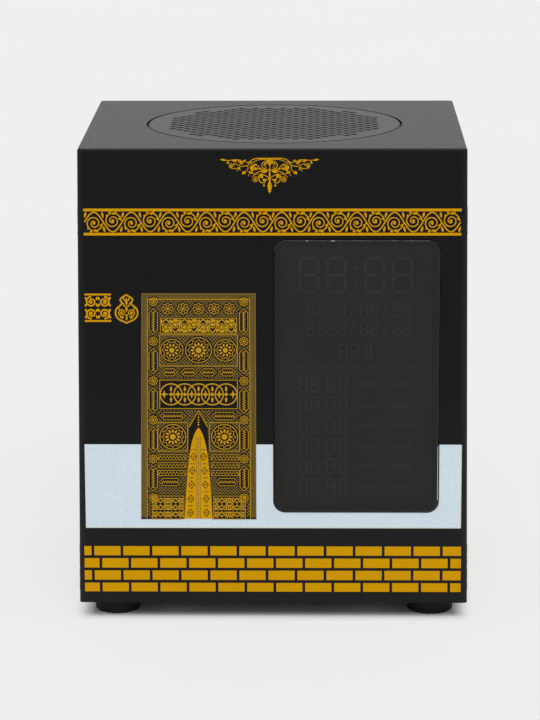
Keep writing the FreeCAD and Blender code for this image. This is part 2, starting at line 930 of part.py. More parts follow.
def make_grille():
    """The perforated disc: one face with all its holes, drawn out, with a chamfered rim."""
    radius = value("grille_radius")
    chamfer = value("grille_chamfer")
    thickness = value("grille_thickness")
    hole_radius = value("hole_radius")
    field = value("hole_field_radius")
    step = value("hole_pitch") / math.sqrt(2)
    up = Vector(0, 0, 1)
    rows = int(field / step)
    holes = []
    for column in range(-rows, rows + 1):
        for row in range(-rows, rows + 1):
            centre = Vector(column * step, row * step, 0)
            if (column + row) % 2 == 1 and centre.Length <= field:
                holes.append(Part.Wire(Part.Circle(centre, up, hole_radius).toShape()))
    rim = Part.Wire(Part.Circle(Vector(), up, radius).toShape())
    plate = Part.makeFace([rim] + holes, "Part::FaceMakerBullseye").extrude(up * thickness)
    upper = [edge for edge in plate.Edges if abs(edge.Length - 2 * math.pi * radius) < 1e-3]
    upper = [edge for edge in upper if abs(edge.BoundBox.ZMax - thickness) < 1e-3]
    upper = [edge for edge in upper if edge.BoundBox.ZLength < 1e-3]
    item = document.addObject("Part::Feature", "speaker_grille")
    item.Shape = plate.makeChamfer(chamfer, upper)
    tie(item, "Placement.Base.z", "grille_bottom")
    piece(item)


# Loudspeaker


def make_basket():
    """The steel basket, with its flange, spider ledge, floor and four windows."""
    body = piece(new_body("speaker_basket"))
    sketch = new_sketch(body, "XZ_Plane")
    outline(sketch, [
        ("basket_throat_radius", "flange_top"),
        ("flange_radius", "flange_top"),
        ("flange_radius", "flange_bottom"),
        ("basket_throat_radius + basket_gauge", "flange_bottom"),
        ("ledge_radius + basket_gauge", "ledge_level - basket_gauge"),
        ("basket_floor_radius + basket_gauge", "ledge_level - basket_gauge"),
        ("basket_floor_radius + basket_gauge", "basket_bottom"),
        ("basket_floor_hole_radius", "basket_bottom"),
        ("basket_floor_hole_radius", "basket_bottom + basket_gauge"),
        ("basket_floor_radius", "basket_bottom + basket_gauge"),
        ("basket_floor_radius", "ledge_level"),
        ("ledge_radius", "ledge_level"),
    ])
    revolve(body, sketch)
    windows = new_sketch(body, "XZ_Plane")
    level = "(ledge_level + flange_bottom) / 2"
    rectangle(windows, "0", level, "basket_window_width", "basket_window_height")
    sides = new_sketch(body, "YZ_Plane")
    rectangle(sides, "0", level, "basket_window_width", "basket_window_height")
    pocket(body, windows, "2 * flange_radius", both=True)
    pocket(body, sides, "2 * flange_radius", both=True)
    screw_hole = new_sketch(body, "XY_Plane", "flange_top")
    circle(screw_hole, "speaker_screw_circle", "0", "speaker_screw_radius + head_play")
    hole = pocket(body, screw_hole, "basket_gauge")
    polar(body, hole, screw_hole, 4)


def make_magnet_system():
    """Top plate, ring magnet and the yoke with its pole."""
    piece(turned_piece(
        "speaker_top_plate",
        ring("gap_radius", "top_plate_radius", "top_plate_bottom", "basket_bottom"),
    ))
    piece(turned_piece(
        "speaker_magnet",
        ring("magnet_bore_radius", "magnet_radius", "magnet_bottom", "top_plate_bottom"),
    ))
    piece(turned_piece("speaker_yoke", [
        ("0", "yoke_bottom"),
        ("top_plate_radius", "yoke_bottom"),
        ("top_plate_radius", "magnet_bottom"),
        ("pole_radius", "magnet_bottom"),
        ("pole_radius", "basket_bottom"),
        ("0", "basket_bottom"),
    ]))


def make_cone():
    """The paper cone, its dust cap, and the voice coil that drives it."""
    rim_inner = "(cone_rim_radius - cone_rim_width)"
    piece(turned_piece("speaker_cone", [
        ("former_outer", "neck_level"),
        (rim_inner, "flange_top - cone_thickness"),
        ("cone_rim_radius", "flange_top - cone_thickness"),
        ("cone_rim_radius", "flange_top"),
        (f"{rim_inner} - cone_thickness / 2", "flange_top"),
        ("former_outer", "neck_level + cone_thickness + cone_thickness / 2"),
    ]))
    cap_inner = "(cap_radius - cap_thickness)"
    inner_rise = "(cap_height - cap_thickness)"
    inner_curve = f"({cap_inner} ^ 2 + {inner_rise} ^ 2) / (2 * {inner_rise})"
    piece(turned_piece("speaker_dust_cap", [
        (cap_inner, "cap_level + cone_thickness"),
        ("cap_radius", "cap_level + cone_thickness", "cap_curve"),
        ("0", "cap_level + cone_thickness + cap_height"),
        ("0", f"cap_level + cone_thickness + {inner_rise}", f"-({inner_curve})"),
    ]))
    piece(turned_piece("voice_coil", [
        ("former_inner", "former_bottom"),
        ("former_outer", "former_bottom"),
        ("former_outer", "winding_bottom"),
        ("winding_outer", "winding_bottom"),
        ("winding_outer", "winding_bottom + winding_height"),
        ("former_outer", "winding_bottom + winding_height"),
        ("former_outer", "neck_level + cone_thickness"),
        ("former_inner", "neck_level + cone_thickness"),
    ]))


def make_suspension():
    """The rubber surround at the cone's rim and the cloth spider at its neck."""
    rim_inner = "(cone_rim_radius - cone_rim_width)"
    lip_top = "(flange_top + roll_thickness)"
    inner_curve = "(((roll_half - roll_thickness / 2) ^ 2 + roll_height ^ 2) / (2 * roll_height))"
    piece(turned_piece("speaker_surround", [
        (rim_inner, "flange_top"),
        ("cone_rim_radius + roll_thickness / 2", "flange_top", f"-{inner_curve}"),
        ("basket_throat_radius - roll_thickness / 2", "flange_top"),
        ("basket_throat_radius + lip_width", "flange_top"),
        ("basket_throat_radius + lip_width", lip_top),
        ("basket_throat_radius", lip_top, "roll_curve"),
        ("cone_rim_radius", lip_top),
        (rim_inner, lip_top),
    ]))
    waves = 6
    span = "(basket_floor_radius - former_outer - spider_rim)"
    lower = [("former_outer", "ledge_level")]
    for index in range(1, waves + 1):
        radius = f"former_outer + {span} * {index} / {waves + 1}"
        lower.append((radius, f"ledge_level + {index % 2} * spider_wave"))
    lower.append(("basket_floor_radius", "ledge_level"))
    lower.append(("ledge_radius - spider_thickness", "ledge_level"))
    upper = [(radius, f"{level} + spider_thickness") for radius, level in reversed(lower)]
    piece(turned_piece("speaker_spider", lower + upper))


def make_gasket():
    """The foam ring between the basket's flange and the collar."""
    body = piece(new_body("speaker_gasket"))
    sketch = new_sketch(body, "XY_Plane", "flange_top")
    circle(sketch, "0", "0", "flange_radius")
    circle(sketch, "0", "0", "opening_radius")
    pad(body, sketch, "gasket_thickness")
    screw_hole = new_sketch(body, "XY_Plane", "flange_top")
    circle(screw_hole, "speaker_screw_circle", "0", "speaker_screw_radius + head_play")
    hole = pocket(body, screw_hole, "gasket_thickness", backwards=True)
    polar(body, hole, screw_hole, 4)


def make_speaker_screws():
    """Four screws up through the flange into the collar."""
    screws = []
    for index, (side, back) in enumerate([(-1, 0), (1, 0), (0, -1), (0, 1)]):
        place = (f"{side} * speaker_screw_circle", f"{back} * speaker_screw_circle", "flange_bottom")
        head = ("speaker_screw_head_radius", "speaker_screw_head_height")
        shank = ("speaker_screw_radius", "speaker_screw_length")
        screws.append(upright_screw(f"speaker_screw_{index}", place, head, shank, False))
    piece(group("speaker_screws", screws))


def make_terminals():
    """The terminal strip under the flange, turned halfway between two basket windows."""
    low = "flange_bottom - terminal_height"
    strip = centred_block(
        "terminal_strip", "0", "terminal_radius", low,
        ("terminal_width", "terminal_thickness", "terminal_height"),
    )
    lugs = []
    for side in (-1, 1):
        lugs.append(centred_block(
            "terminal_lug", f"{side} * lug_spacing / 2", "terminal_radius + terminal_thickness / 4",
            f"{low} - lug_length", ("lug_width", "lug_thickness", "lug_length"),
        ))
    whole = union("terminal_whole", [strip] + lugs)
    document.recompute()
    item = document.addObject("Part::Feature", "speaker_terminals")
    item.Shape = whole.Shape
    item.Placement = Placement(Vector(), Rotation(Vector(0, 0, 1), -45))
    piece(item)


# Display

# Its characters lie on rows: the level from the window's centre, the height, and the
# columns, each with its place from the centre and its width, drawn for this reflector
layout_width = 44.8
layout_height = 77.5
clock_columns = [(-13.6, 6.0), (-5.8, 6.0), (-0.35, 1.5), (5.1, 6.0), (13.0, 6.0)]
date_columns = [
    (-13.2, 2.3), (-10.2, 2.3), (-7.3, 2.3), (-4.4, 2.3), (-1.2, 1.2),
    (2.1, 2.3), (5.0, 2.3), (8.2, 1.2), (11.5, 2.3), (14.4, 2.3),
]
temperature_columns = [(-3.9, 2.7), (-0.5, 2.7), (3.2, 2.3)]
weekday_columns = [(-15.2 + 5.0 * day, 2.9) for day in range(7)]
time_columns = [(-15.3, 2.6), (-11.9, 2.6), (-9.6, 0.9), (-7.25, 2.6), (-3.8, 2.6)]
label_columns = [(3.05, 6.1), (12.9, 6.5)]
receiver_column = 13.0
receiver_row = 7.2
across = f"reflector_width / {layout_width}"
upwards = f"reflector_height / {layout_height}"
character_rows = [
    (29.4, 10.7, clock_columns),
    (19.1, 4.2, date_columns),
    (13.7, 4.2, date_columns),
    (7.0, 4.9, temperature_columns),
    (2.5, 1.7, weekday_columns),
]
for line in range(6):
    character_rows.append((-2.8 - 6.07 * line, 4.9, time_columns))
    character_rows.append((-2.8 - 6.07 * line, 1.6, label_columns))


def make_window():
    """The tinted window and the tape frame that holds it in its recess."""
    body = piece(new_body("display_window"))
    sketch = new_sketch(body, "XZ_Plane", "-window_back")
    rounded_rectangle(
        sketch, "window_place", "window_level", "window_width", "window_height", "window_radius",
    )
    sheet = pad(body, sketch, "window_thickness")
    front = value("window_back - window_thickness")
    rim = edge_names(sheet, lambda point: abs(point.y - front) < 1e-4)
    soften(body, "Chamfer", sheet, rim, "window_chamfer")

    tape = piece(new_body("window_tape"))
    frame = new_sketch(tape, "XZ_Plane", "-(window_back + tape_thickness)")
    outer_width, outer_height = "window_width - 2 * tape_inset", "window_height - 2 * tape_inset"
    rounded_rectangle(frame, "window_place", "window_level", outer_width, outer_height, "window_radius")
    rectangle(
        frame, "window_place", "window_level",
        f"{outer_width} - 2 * tape_width", f"{outer_height} - 2 * tape_width",
    )
    pad(tape, frame, "tape_thickness")


def make_reflector():
    """The block with a light well behind each character, and a diffuser over it."""
    piece(centred_block(
        "display_diffuser", "window_place", "inner_front", "window_level - reflector_height / 2",
        ("reflector_width", "diffuser_thickness", "reflector_height"),
    ))
    solid = centred_block(
        "reflector_block", "window_place", "diffuser_back", "window_level - reflector_height / 2",
        ("reflector_width", "reflector_thickness", "reflector_height"),
    )
    wells = [well("character_well", *character) for character in characters()]
    x, z = receiver_place()
    play = "2 * receiver_play"
    wells.append(well("receiver_well", x, z, f"receiver_width + {play}", f"receiver_height + {play}"))
    piece(cut("display_reflector", solid, group("wells", wells)))


def well(name, x, z, width, height):
    """A light well through the reflector, about its centre."""
    size = (width, "reflector_thickness", height)
    return centred_block(name, x, "diffuser_back", f"{z} - ({height}) / 2", size)


def receiver_place():
    """The remote receiver's place, beside the row of degrees."""
    return f"window_place + {receiver_column} * {across}", f"window_level + {receiver_row} * {upwards}"


def characters():
    """Each character's place and size, as formulas."""
    found = []
    for level, height, columns in character_rows:
        for place, width in columns:
            x = f"window_place + {place} * {across}"
            z = f"window_level + {level} * {upwards}"
            found.append((x, z, f"{width} * {across}", f"{height} * {upwards}"))
    return found


def make_display_board():
    """The display's board with its lamps, remote receiver, screws and plug."""
    body = piece(new_body("display_board"))
    sketch = new_sketch(body, "XZ_Plane", "-reflector_back")
    rectangle(sketch, "window_place", "window_level", "display_board_width", "display_board_height")
    pad(body, sketch, "board_thickness", backwards=True)
    holes = new_sketch(body, "XZ_Plane", "-reflector_back")
    screws = []
    for index, (side, rise) in enumerate(corner_signs):
        x = f"(window_place + {side} * display_boss_spacing / 2)"
        z = f"(window_level + {rise} * display_boss_height / 2)"
        circle(holes, x, z, "small_screw_radius + board_hole_play")
        head = rod(f"display_screw_head_{index}", (x, "display_board_back", z),
                   "small_screw_head_radius", "small_screw_head_height", "y")
        start = (x, "display_board_back - small_screw_length", z)
        shank = rod(f"display_screw_shank_{index}", start, "small_screw_radius", "small_screw_length", "y")
        screws.append(union(f"display_screw_{index}", [head, shank]))
    pocket(body, holes, "board_thickness")
    piece(group("display_board_screws", screws))

    lamps = []
    for x, z, width, height in characters():
        size = ("led_size", "led_height", "led_size")
        lamps.append(centred_block("lamp", x, "reflector_back - led_height", f"{z} - led_size / 2", size))
    piece(group("display_leds", lamps))

    x, z = receiver_place()
    piece(centred_block(
        "remote_receiver", x, "reflector_back - receiver_depth", f"{z} - receiver_height / 2",
        ("receiver_width", "receiver_depth", "receiver_height"),
    ))
    shell = centred_block(
        "plug_shell", "plug_place", "display_board_back", "plug_level - plug_height / 2",
        ("plug_width", "plug_depth", "plug_height"),
    )
    hollow = centred_block(
        "plug_hollow", "plug_place", "display_board_back + connector_wall",
        "plug_level - plug_height / 2 + connector_wall",
        ("plug_width - 2 * connector_wall", "plug_depth", "plug_height - 2 * connector_wall"),
    )
    piece(cut("display_connector", shell, hollow))


# Main board


def on_board(name, x, inset, size):
    """A block on top of the main board, centred on x, from its distance behind the front edge."""
    return centred_block(name, x, f"main_board_front + {inset}", "main_board_top", size)


def can_on_board(name, x, inset, lift, radius, height):
    """An upright cylinder over the main board."""
    return rod(name, (x, f"main_board_front + {inset}", f"main_board_top + {lift}"), radius, height)


def make_main_board():
    """The main board on its posts, with its screws."""
    body = piece(new_body("main_board"))
    sketch = new_sketch(body, "XY_Plane", "main_board_bottom")
    middle = "main_board_back - main_board_depth / 2"
    rectangle(sketch, "0", middle, "main_board_width", "main_board_depth")
    pad(body, sketch, "board_thickness")
    holes = new_sketch(body, "XY_Plane", "main_board_top")
    screws = []
    for index, (x, y) in enumerate(post_places()):
        circle(holes, x, y, "small_screw_radius + board_hole_play")
        head = ("small_screw_head_radius", "small_screw_head_height")
        shank = ("small_screw_radius", "small_screw_length")
        screws.append(upright_screw(f"board_screw_{index}", (x, y, "main_board_top"), head, shank, True))
    pocket(body, holes, "board_thickness")
    piece(group("main_board_screws", screws))


def make_board_parts():
    """The chips, module, crystal, cell, capacitors, sensor and connectors on the main board."""
    chip = ("audio_chip_side", "audio_chip_side", "audio_chip_height")
    piece(on_board("audio_chip", "audio_chip_x", "audio_chip_inset", chip))
    chip = ("amplifier_side", "amplifier_side", "amplifier_height")
    piece(on_board("amplifier_chip", "amplifier_x", "amplifier_inset", chip))
    module = ("module_width", "module_depth", "module_height")
    piece(on_board("bluetooth_module", "module_x", "module_inset", module))
    start = ("crystal_x", "main_board_front + crystal_inset", "main_board_top + crystal_radius")
    piece(rod("clock_crystal", start, "crystal_radius", "crystal_length", "x"))
    make_backup_cell()
    cans = []
    for index in range(3):
        x = f"capacitor_x + {index} * capacitor_pitch"
        cans.append(can_on_board("can", x, "capacitor_inset", "0", "capacitor_radius", "capacitor_height"))
    piece(group("capacitors", cans))
    whole = can_on_board("sensor_round", "sensor_x", "sensor_inset", "0", "sensor_radius", "sensor_height")
    flat_size = ("2 * sensor_radius", "sensor_radius", "sensor_height")
    flat = on_board("sensor_flat", "sensor_x", "sensor_inset + sensor_flat_place", flat_size)
    piece(cut("temperature_sensor", whole, flat))
    make_connectors()


def make_backup_cell():
    """The clock's coin cell in its holder."""
    side = "coin_holder_side"
    inset = f"coin_cell_inset - {side} / 2"
    socket = on_board("cell_holder_block", "coin_cell_x", inset, (side, side, "coin_holder_height"))
    seat = can_on_board(
        "cell_holder_seat", "coin_cell_x", "coin_cell_inset", "coin_holder_floor",
        "coin_cell_radius + coin_cell_play", "coin_holder_height",
    )
    piece(cut("backup_cell_holder", socket, seat))
    piece(can_on_board(
        "backup_cell", "coin_cell_x", "coin_cell_inset", "coin_holder_floor",
        "coin_cell_radius", "coin_cell_thickness",
    ))


def make_connectors():
    """Three open sockets for the plugs of the display, the battery and the loudspeaker."""
    connectors = []
    for x, inset, width in [
        ("plug_place", "display_plug_inset", "plug_width"),
        ("battery_plug_x", "battery_plug_inset", "small_plug_width"),
        ("speaker_plug_x", "speaker_plug_inset", "small_plug_width"),
    ]:
        shell = on_board("connector_shell", x, inset, (width, "connector_depth", "connector_height"))
        inside = (f"{width} - 2 * connector_wall", "connector_depth - 2 * connector_wall", "connector_height")
        low = (f"main_board_front + {inset} + connector_wall", "main_board_top + connector_wall")
        connectors.append(cut("connector", shell, centred_block("connector_hollow", x, *low, inside)))
    piece(group("board_connectors", connectors))


# Sockets, switch and keys


def make_sockets():
    """The audio, card and power sockets at the board's back edge."""
    low = "main_board_back - aux_depth"
    size = ("aux_width", "aux_depth", "aux_height")
    box = centred_block("aux_box", "aux_place", low, "main_board_top", size)
    start = ("aux_place", "main_board_back", "aux_level")
    nose = rod("aux_nose", start, "aux_nose_radius", "aux_nose_length", "y")
    start = ("aux_place", f"{low} + socket_wall", "aux_level")
    bore = rod("aux_bore", start, "aux_bore_radius", "aux_depth + aux_nose_length", "y")
    piece(cut("aux_socket", union("aux_whole", [box, nose]), bore))

    low = "main_board_back - card_socket_depth"
    size = ("card_socket_width", "card_socket_depth", "card_socket_height")
    box = centred_block("card_box", "card_place", low, "main_board_top", size)
    slot_low = "card_level - card_slot_height / 2"
    size = ("card_width", "card_socket_depth", "card_slot_height")
    slot = centred_block("card_slot", "card_place", f"{low} + socket_wall", slot_low, size)
    piece(cut("memory_card_socket", box, slot))

    body = piece(new_body("power_socket"))
    mouth = "-(main_board_back + power_reach)"
    shell = new_sketch(body, "XZ_Plane", mouth)
    rounded_rectangle(
        shell, "power_place", "power_level",
        "power_width", "power_height", "(power_height / 2 - power_flat)",
    )
    pad(body, shell, "power_depth")
    hollow = new_sketch(body, "XZ_Plane", mouth)
    rounded_rectangle(
        hollow, "power_place", "power_level",
        "power_width - 2 * power_shell", "power_height - 2 * power_shell",
        "(power_height / 2 - power_shell - power_flat)",
    )
    pocket(body, hollow, "power_depth - socket_wall", backwards=True)
    tongue = new_sketch(body, "XZ_Plane", "-(main_board_back + power_reach - power_depth)")
    rectangle(tongue, "power_place", "power_level", "power_tongue_width", "power_tongue_height")
    pad(body, tongue, "power_depth - power_shell * 2", backwards=True)


def make_power_switch():
    """The slide switch: its body on the board, and the slider whose knob shows at the back."""
    low = "switch_back - switch_depth"
    size = ("switch_width", "switch_depth", "switch_height")
    box = centred_block("switch_box", "switch_place", low, "main_board_top", size)
    shoe_back = "switch_back - switch_lip - slide_play / 2"
    chamber_size = (
        "shoe_width + switch_travel + slide_play",
        "shoe_depth + slide_play",
        "shoe_height + slide_play",
    )
    chamber = centred_block(
        "switch_chamber", "switch_place", "switch_back - switch_lip - shoe_depth - slide_play",
        "switch_level - (shoe_height + slide_play) / 2", chamber_size,
    )
    slot = centred_block(
        "switch_slot", "switch_place", "switch_back - switch_lip",
        "switch_level - (knob_height + slide_play) / 2",
        ("knob_width + switch_travel + slide_play", "switch_lip", "knob_height + slide_play"),
    )
    piece(cut("power_switch_body", box, chamber, slot))
    rest = "(switch_place - switch_travel / 2)"
    shoe = centred_block(
        "switch_shoe", rest, f"{shoe_back} - shoe_depth", "switch_level - shoe_height / 2",
        ("shoe_width", "shoe_depth", "shoe_height"),
    )
    knob = centred_block(
        "switch_knob", rest, shoe_back, "switch_level - knob_height / 2",
        ("knob_width", f"back_face + knob_reach - ({shoe_back})", "knob_height"),
    )
    piece(union("power_switch_slider", [shoe, knob]))


def make_keys():
    """Four keys: each a cap with its flange and stem, and the plunger that it presses."""
    housings = []
    for index, name in enumerate(key_names):
        x = key_x(index)
        body = piece(new_body(f"button_{name}"))
        flange = new_sketch(body, "XZ_Plane", "-inner_back")
        rounded_rectangle(flange, x, "key_level", "key_flange_width", "key_flange_height", "key_cap_radius")
        pad(body, flange, "key_flange_thickness")
        cap = new_sketch(body, "XZ_Plane", "-inner_back")
        rounded_rectangle(cap, x, "key_level", "key_cap_width", "key_cap_height", "key_cap_radius")
        whole = pad(body, cap, "wall + key_cap_reach", backwards=True)
        stem = new_sketch(body, "XZ_Plane", "-flange_inner")
        circle(stem, x, "key_level", "key_stem_radius")
        whole = pad(body, stem, "key_stem_length")
        outer = value("back_face + key_cap_reach")
        rim = edge_names(whole, lambda point: abs(point.y - outer) < 1e-4)
        soften(body, "Fillet", whole, rim, "key_cap_reach / 2")

        start = (x, "stem_tip - plunger_length", "key_level")
        piece(rod(f"plunger_{name}", start, "plunger_radius", "plunger_length", "y"))
        size = ("tact_width", "tact_depth", "tact_height")
        box = centred_block(f"tact_box_{name}", x, "tact_back - tact_depth", "main_board_top", size)
        depth = "(plunger_length - plunger_exposed + key_travel + plunger_play)"
        bore_start = (x, f"tact_back - {depth}", "key_level")
        bore = rod(f"tact_bore_{name}", bore_start, "plunger_radius + plunger_play", depth, "y")
        housings.append(cut(f"tact_{name}", box, bore))
    piece(group("key_switches", housings))


# Battery


def make_battery():
    """The round cell in its saddles, under a clamp with two screws."""
    start = ("-cell_length / 2", "cell_place", "cell_level")
    can = rod("cell_can", start, "cell_radius", "cell_length", "x")
    start = ("cell_length / 2", "cell_place", "cell_level")
    tip = rod("cell_tip", start, "cell_button_radius", "cell_button_height", "x")
    piece(union("battery_cell", [can, tip]))

    body = piece(new_body("battery_clamp"))
    sketch = new_sketch(body, "YZ_Plane")
    foot_top = "plate_top + clamp_thickness"
    outline(sketch, [
        ("cell_place - clamp_outer - clamp_foot", "plate_top"),
        ("cell_place - clamp_inner", "plate_top"),
        ("cell_place - clamp_inner", "cell_level", "-clamp_inner"),
        ("cell_place", "cell_level + clamp_inner", "-clamp_inner"),
        ("cell_place + clamp_inner", "cell_level"),
        ("cell_place + clamp_inner", "plate_top"),
        ("cell_place + clamp_outer + clamp_foot", "plate_top"),
        ("cell_place + clamp_outer + clamp_foot", foot_top),
        ("cell_place + clamp_outer", foot_top),
        ("cell_place + clamp_outer", "cell_level", "clamp_outer"),
        ("cell_place", "cell_level + clamp_outer", "clamp_outer"),
        ("cell_place - clamp_outer", "cell_level"),
        ("cell_place - clamp_outer", foot_top),
        ("cell_place - clamp_outer - clamp_foot", foot_top),
    ])
    pad(body, sketch, "clamp_width", both=True)
    holes = new_sketch(body, "XY_Plane", foot_top)
    screws = []
    for index, side in enumerate((-1, 1)):
        y = f"(cell_place + {side} * clamp_screw_place)"
        circle(holes, "0", y, "small_screw_radius + board_hole_play")
        head = ("small_screw_head_radius", "small_screw_head_height")
        shank = ("small_screw_radius", "clamp_screw_length")
        place = ("0", y, f"({foot_top})")
        screws.append(upright_screw(f"clamp_screw_{index}", place, head, shank, True))
    pocket(body, holes, "clamp_thickness")
    piece(group("battery_clamp_screws", screws))


# Wires


def route_wire(points):
    """A path of straight runs joined by tangent arcs."""
    edges = []
    start = points[0]
    for before, point, after in zip(points, points[1:], points[2:]):
        arriving = (point - before).normalize()
        leaving = (after - point).normalize()
        turn = arriving.getAngle(leaving)
        shorter = min((point - before).Length, (after - point).Length)
        setback = 0.45 * shorter
        radius = setback / math.tan(turn / 2)
        first = point - arriving * setback
        last = point + leaving * setback
        inward = (leaving - arriving).normalize()
        centre = point + inward * (radius / math.cos(turn / 2))
        middle = centre - inward * radius
        edges.append(Part.LineSegment(start, first).toShape())
        edges.append(Part.Arc(first, middle, last).toShape())
        start = last
    edges.append(Part.LineSegment(start, points[-1]).toShape())
    return Part.Wire(edges)


def wire_solid(points, radius):
    """A round wire along its route."""
    path = route_wire(points)
    direction = points[1] - points[0]
    profile = Part.Wire(Part.Circle(points[0], direction, radius).toShape())
    return path.makePipeShell([profile], True, False)


def points_of(places_list):
    """Points from triples of formulas."""
    return [Vector(value(x), value(y), value(z)) for x, y, z in places_list]


def make_speaker_leads():
    """Two wires from the terminal lugs down to the speaker connector."""
    radius = value("wire_radius")
    arm = value("terminal_radius + terminal_thickness / 2")
    low = value("flange_bottom - terminal_height - lug_length")
    wires = []
    for side in (-1, 1):
        lug = Vector(side * value("lug_spacing") / 2, arm, low)
        lug = Rotation(Vector(0, 0, 1), -45).multVec(lug)
        end = plug_point("speaker_plug_x", "speaker_plug_inset", side)
        drop = lug.z - end.z
        spread = value("lug_spacing")
        between = [
            lug - Vector(0, 0, 0.195 * drop),
            lug + Vector(0.5 * spread, -0.25 * spread, -0.432 * drop),
            end + Vector(spread * (5 + side) / 6, 0.25 * spread, 0.281 * drop),
            end + Vector(0, 0, 0.13 * drop),
        ]
        wires.append(wire_solid([lug] + between + [end], radius))
    item = document.addObject("Part::Feature", "speaker_leads")
    item.Shape = Part.makeCompound(wires)
    piece(item)


def plug_point(x, inset, side):
    """Where a wire ends in a connector of the main board."""
    middle = f"main_board_front + {inset} + connector_depth / 2"
    return points_of([(f"{x} + {side} * connector_wall * 2", middle, "main_board_top + connector_wall")])[0]


def make_battery_leads():
    """Two wires from the cell's ends to the battery connector, their bends as shares of the cell's radius."""
    radius = value("wire_radius")
    reach = value("cell_radius")
    wires = []
    for side in (-1, 1):
        cell_end = "cell_length / 2 + cell_button_height" if side > 0 else "cell_length / 2"
        tip = Vector(side * value(cell_end), value("cell_place"), value("cell_level"))
        end = plug_point("battery_plug_x", "battery_plug_inset", side)
        route = [
            tip,
            tip + Vector(side * 0.35, 0, 0) * reach,
            tip + Vector(side * 0.39, 0.865, 0.65) * reach,
            tip + Vector(side * -0.43, 1.405, 1.3) * reach,
            end + Vector(side * 1.19, -0.43, 1.405) * reach,
            end + Vector(0, 0, 0.97) * reach,
            end,
        ]
        wires.append(wire_solid(route, radius))
    item = document.addObject("Part::Feature", "battery_leads")
    item.Shape = Part.makeCompound(wires)
    piece(item)


def make_display_cable():
    """The flat cable from the display's plug to the main board."""
    start = Vector(0, value("display_board_back + connector_wall"), value("plug_level"))
    end_y = value("main_board_front + display_plug_inset + connector_depth / 2")
    end = Vector(0, end_y, value("main_board_top + connector_wall"))
    over = Vector(0, end.y - value("cable_overhang"), start.z)
    down = Vector(0, end.y, start.z - value("cable_bend"))
    points = [start, over, down, end]
    path = route_wire(points)
    half = value("cable_thickness") / 2
    width = value("cable_width")
    middle = value("plug_place")
    corner = Vector(middle - width / 2, start.y, start.z - half)
    profile = Part.makePolygon([
        corner,
        corner + Vector(width, 0, 0),
        corner + Vector(width, 0, 2 * half),
        corner + Vector(0, 0, 2 * half),
        corner,
    ])
    path.translate(Vector(middle, 0, 0))
    item = document.addObject("Part::Feature", "display_cable")
    item.Shape = path.makePipeShell([profile], True, False)
    piece(item)


# Checks and export


def check_document():
    """Every object has been worked out, and every piece is a sound solid."""
    for item in document.Objects:
        if {"Invalid", "Error"} & set(item.State):
            raise RuntimeError(f"{item.Label} failed")
    for item in pieces:
        shape = item.Shape
        if shape.isNull() or not shape.isValid() or not shape.Solids:
            raise RuntimeError(f"{item.Label} is not a sound solid")


def export_pieces():
    """One file for each piece, named by its label."""
    os.makedirs("parts", exist_ok=True)
    for item in pieces:
        item.Shape.exportStep(f"parts/{item.Label}.step")
    print(len(pieces), "pieces")


make_housing()
make_base_plate()
make_feet()
make_base_screws()
make_grille()
make_basket()
make_magnet_system()
make_cone()
make_suspension()
make_gasket()
make_speaker_screws()
make_terminals()
make_window()
make_reflector()
make_display_board()
make_main_board()
make_board_parts()
make_sockets()
make_power_switch()
make_keys()
make_battery()
make_speaker_leads()
make_battery_leads()
make_display_cable()
document.recompute()
check_document()
export_pieces()
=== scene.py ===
import json
from math import cos, dist, hypot, pi, radians, sin

import bmesh
import bpy
from mathutils import Matrix, Vector


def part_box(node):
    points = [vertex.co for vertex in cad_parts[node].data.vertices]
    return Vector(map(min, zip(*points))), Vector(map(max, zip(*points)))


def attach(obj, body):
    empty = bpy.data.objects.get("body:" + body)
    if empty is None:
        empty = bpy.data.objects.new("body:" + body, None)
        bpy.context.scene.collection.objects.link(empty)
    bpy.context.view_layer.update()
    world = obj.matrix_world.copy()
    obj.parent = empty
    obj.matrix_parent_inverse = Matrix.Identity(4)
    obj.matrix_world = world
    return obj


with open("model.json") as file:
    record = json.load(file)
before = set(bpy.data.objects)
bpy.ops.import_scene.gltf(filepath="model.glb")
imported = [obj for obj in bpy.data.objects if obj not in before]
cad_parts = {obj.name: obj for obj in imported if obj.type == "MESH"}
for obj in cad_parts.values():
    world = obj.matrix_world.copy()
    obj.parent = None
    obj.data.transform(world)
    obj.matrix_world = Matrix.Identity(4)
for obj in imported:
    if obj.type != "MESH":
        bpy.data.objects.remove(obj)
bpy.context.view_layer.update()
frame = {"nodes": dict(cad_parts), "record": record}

# Drawings are written in millimetres of the row frame and turned into metres here.
MM = 0.001
BODY_BOTTOM, WALL_TOP = 5.0, 138.7
FRONT, BACK = (corner.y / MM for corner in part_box("housing"))
HALF_TOP, HALF_BOTTOM = 55.0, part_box("housing")[1].x / MM
WINDOW_LOW, WINDOW_HIGH = (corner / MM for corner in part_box("display_window"))
WINDOW_RADIUS, WINDOW_BEVEL = 3.1, 0.3

# The heights that the layers of print stand above the plastic, in mm.
EMBED = 0.03
PALE_LIFT, GROUND_LIFT, NET_LIFT, PATCH_LIFT, GOLD_LIFT = 0.02, 0.05, 0.08, 0.12, 0.15
LIFT_STEP, LIFT_LEVELS = 0.003, 7
STEPS_PER_TURN = 13


# Materials

# Where shades change on the housing and the grille, in metres from the middle or from the ground.
PALER_CORNER = (53.3 * MM, 55.6 * MM)
PALER_FOOT = (20.0 * MM, 80.0 * MM)
GRILLE_RIM = (34.0 * MM, 35.5 * MM)


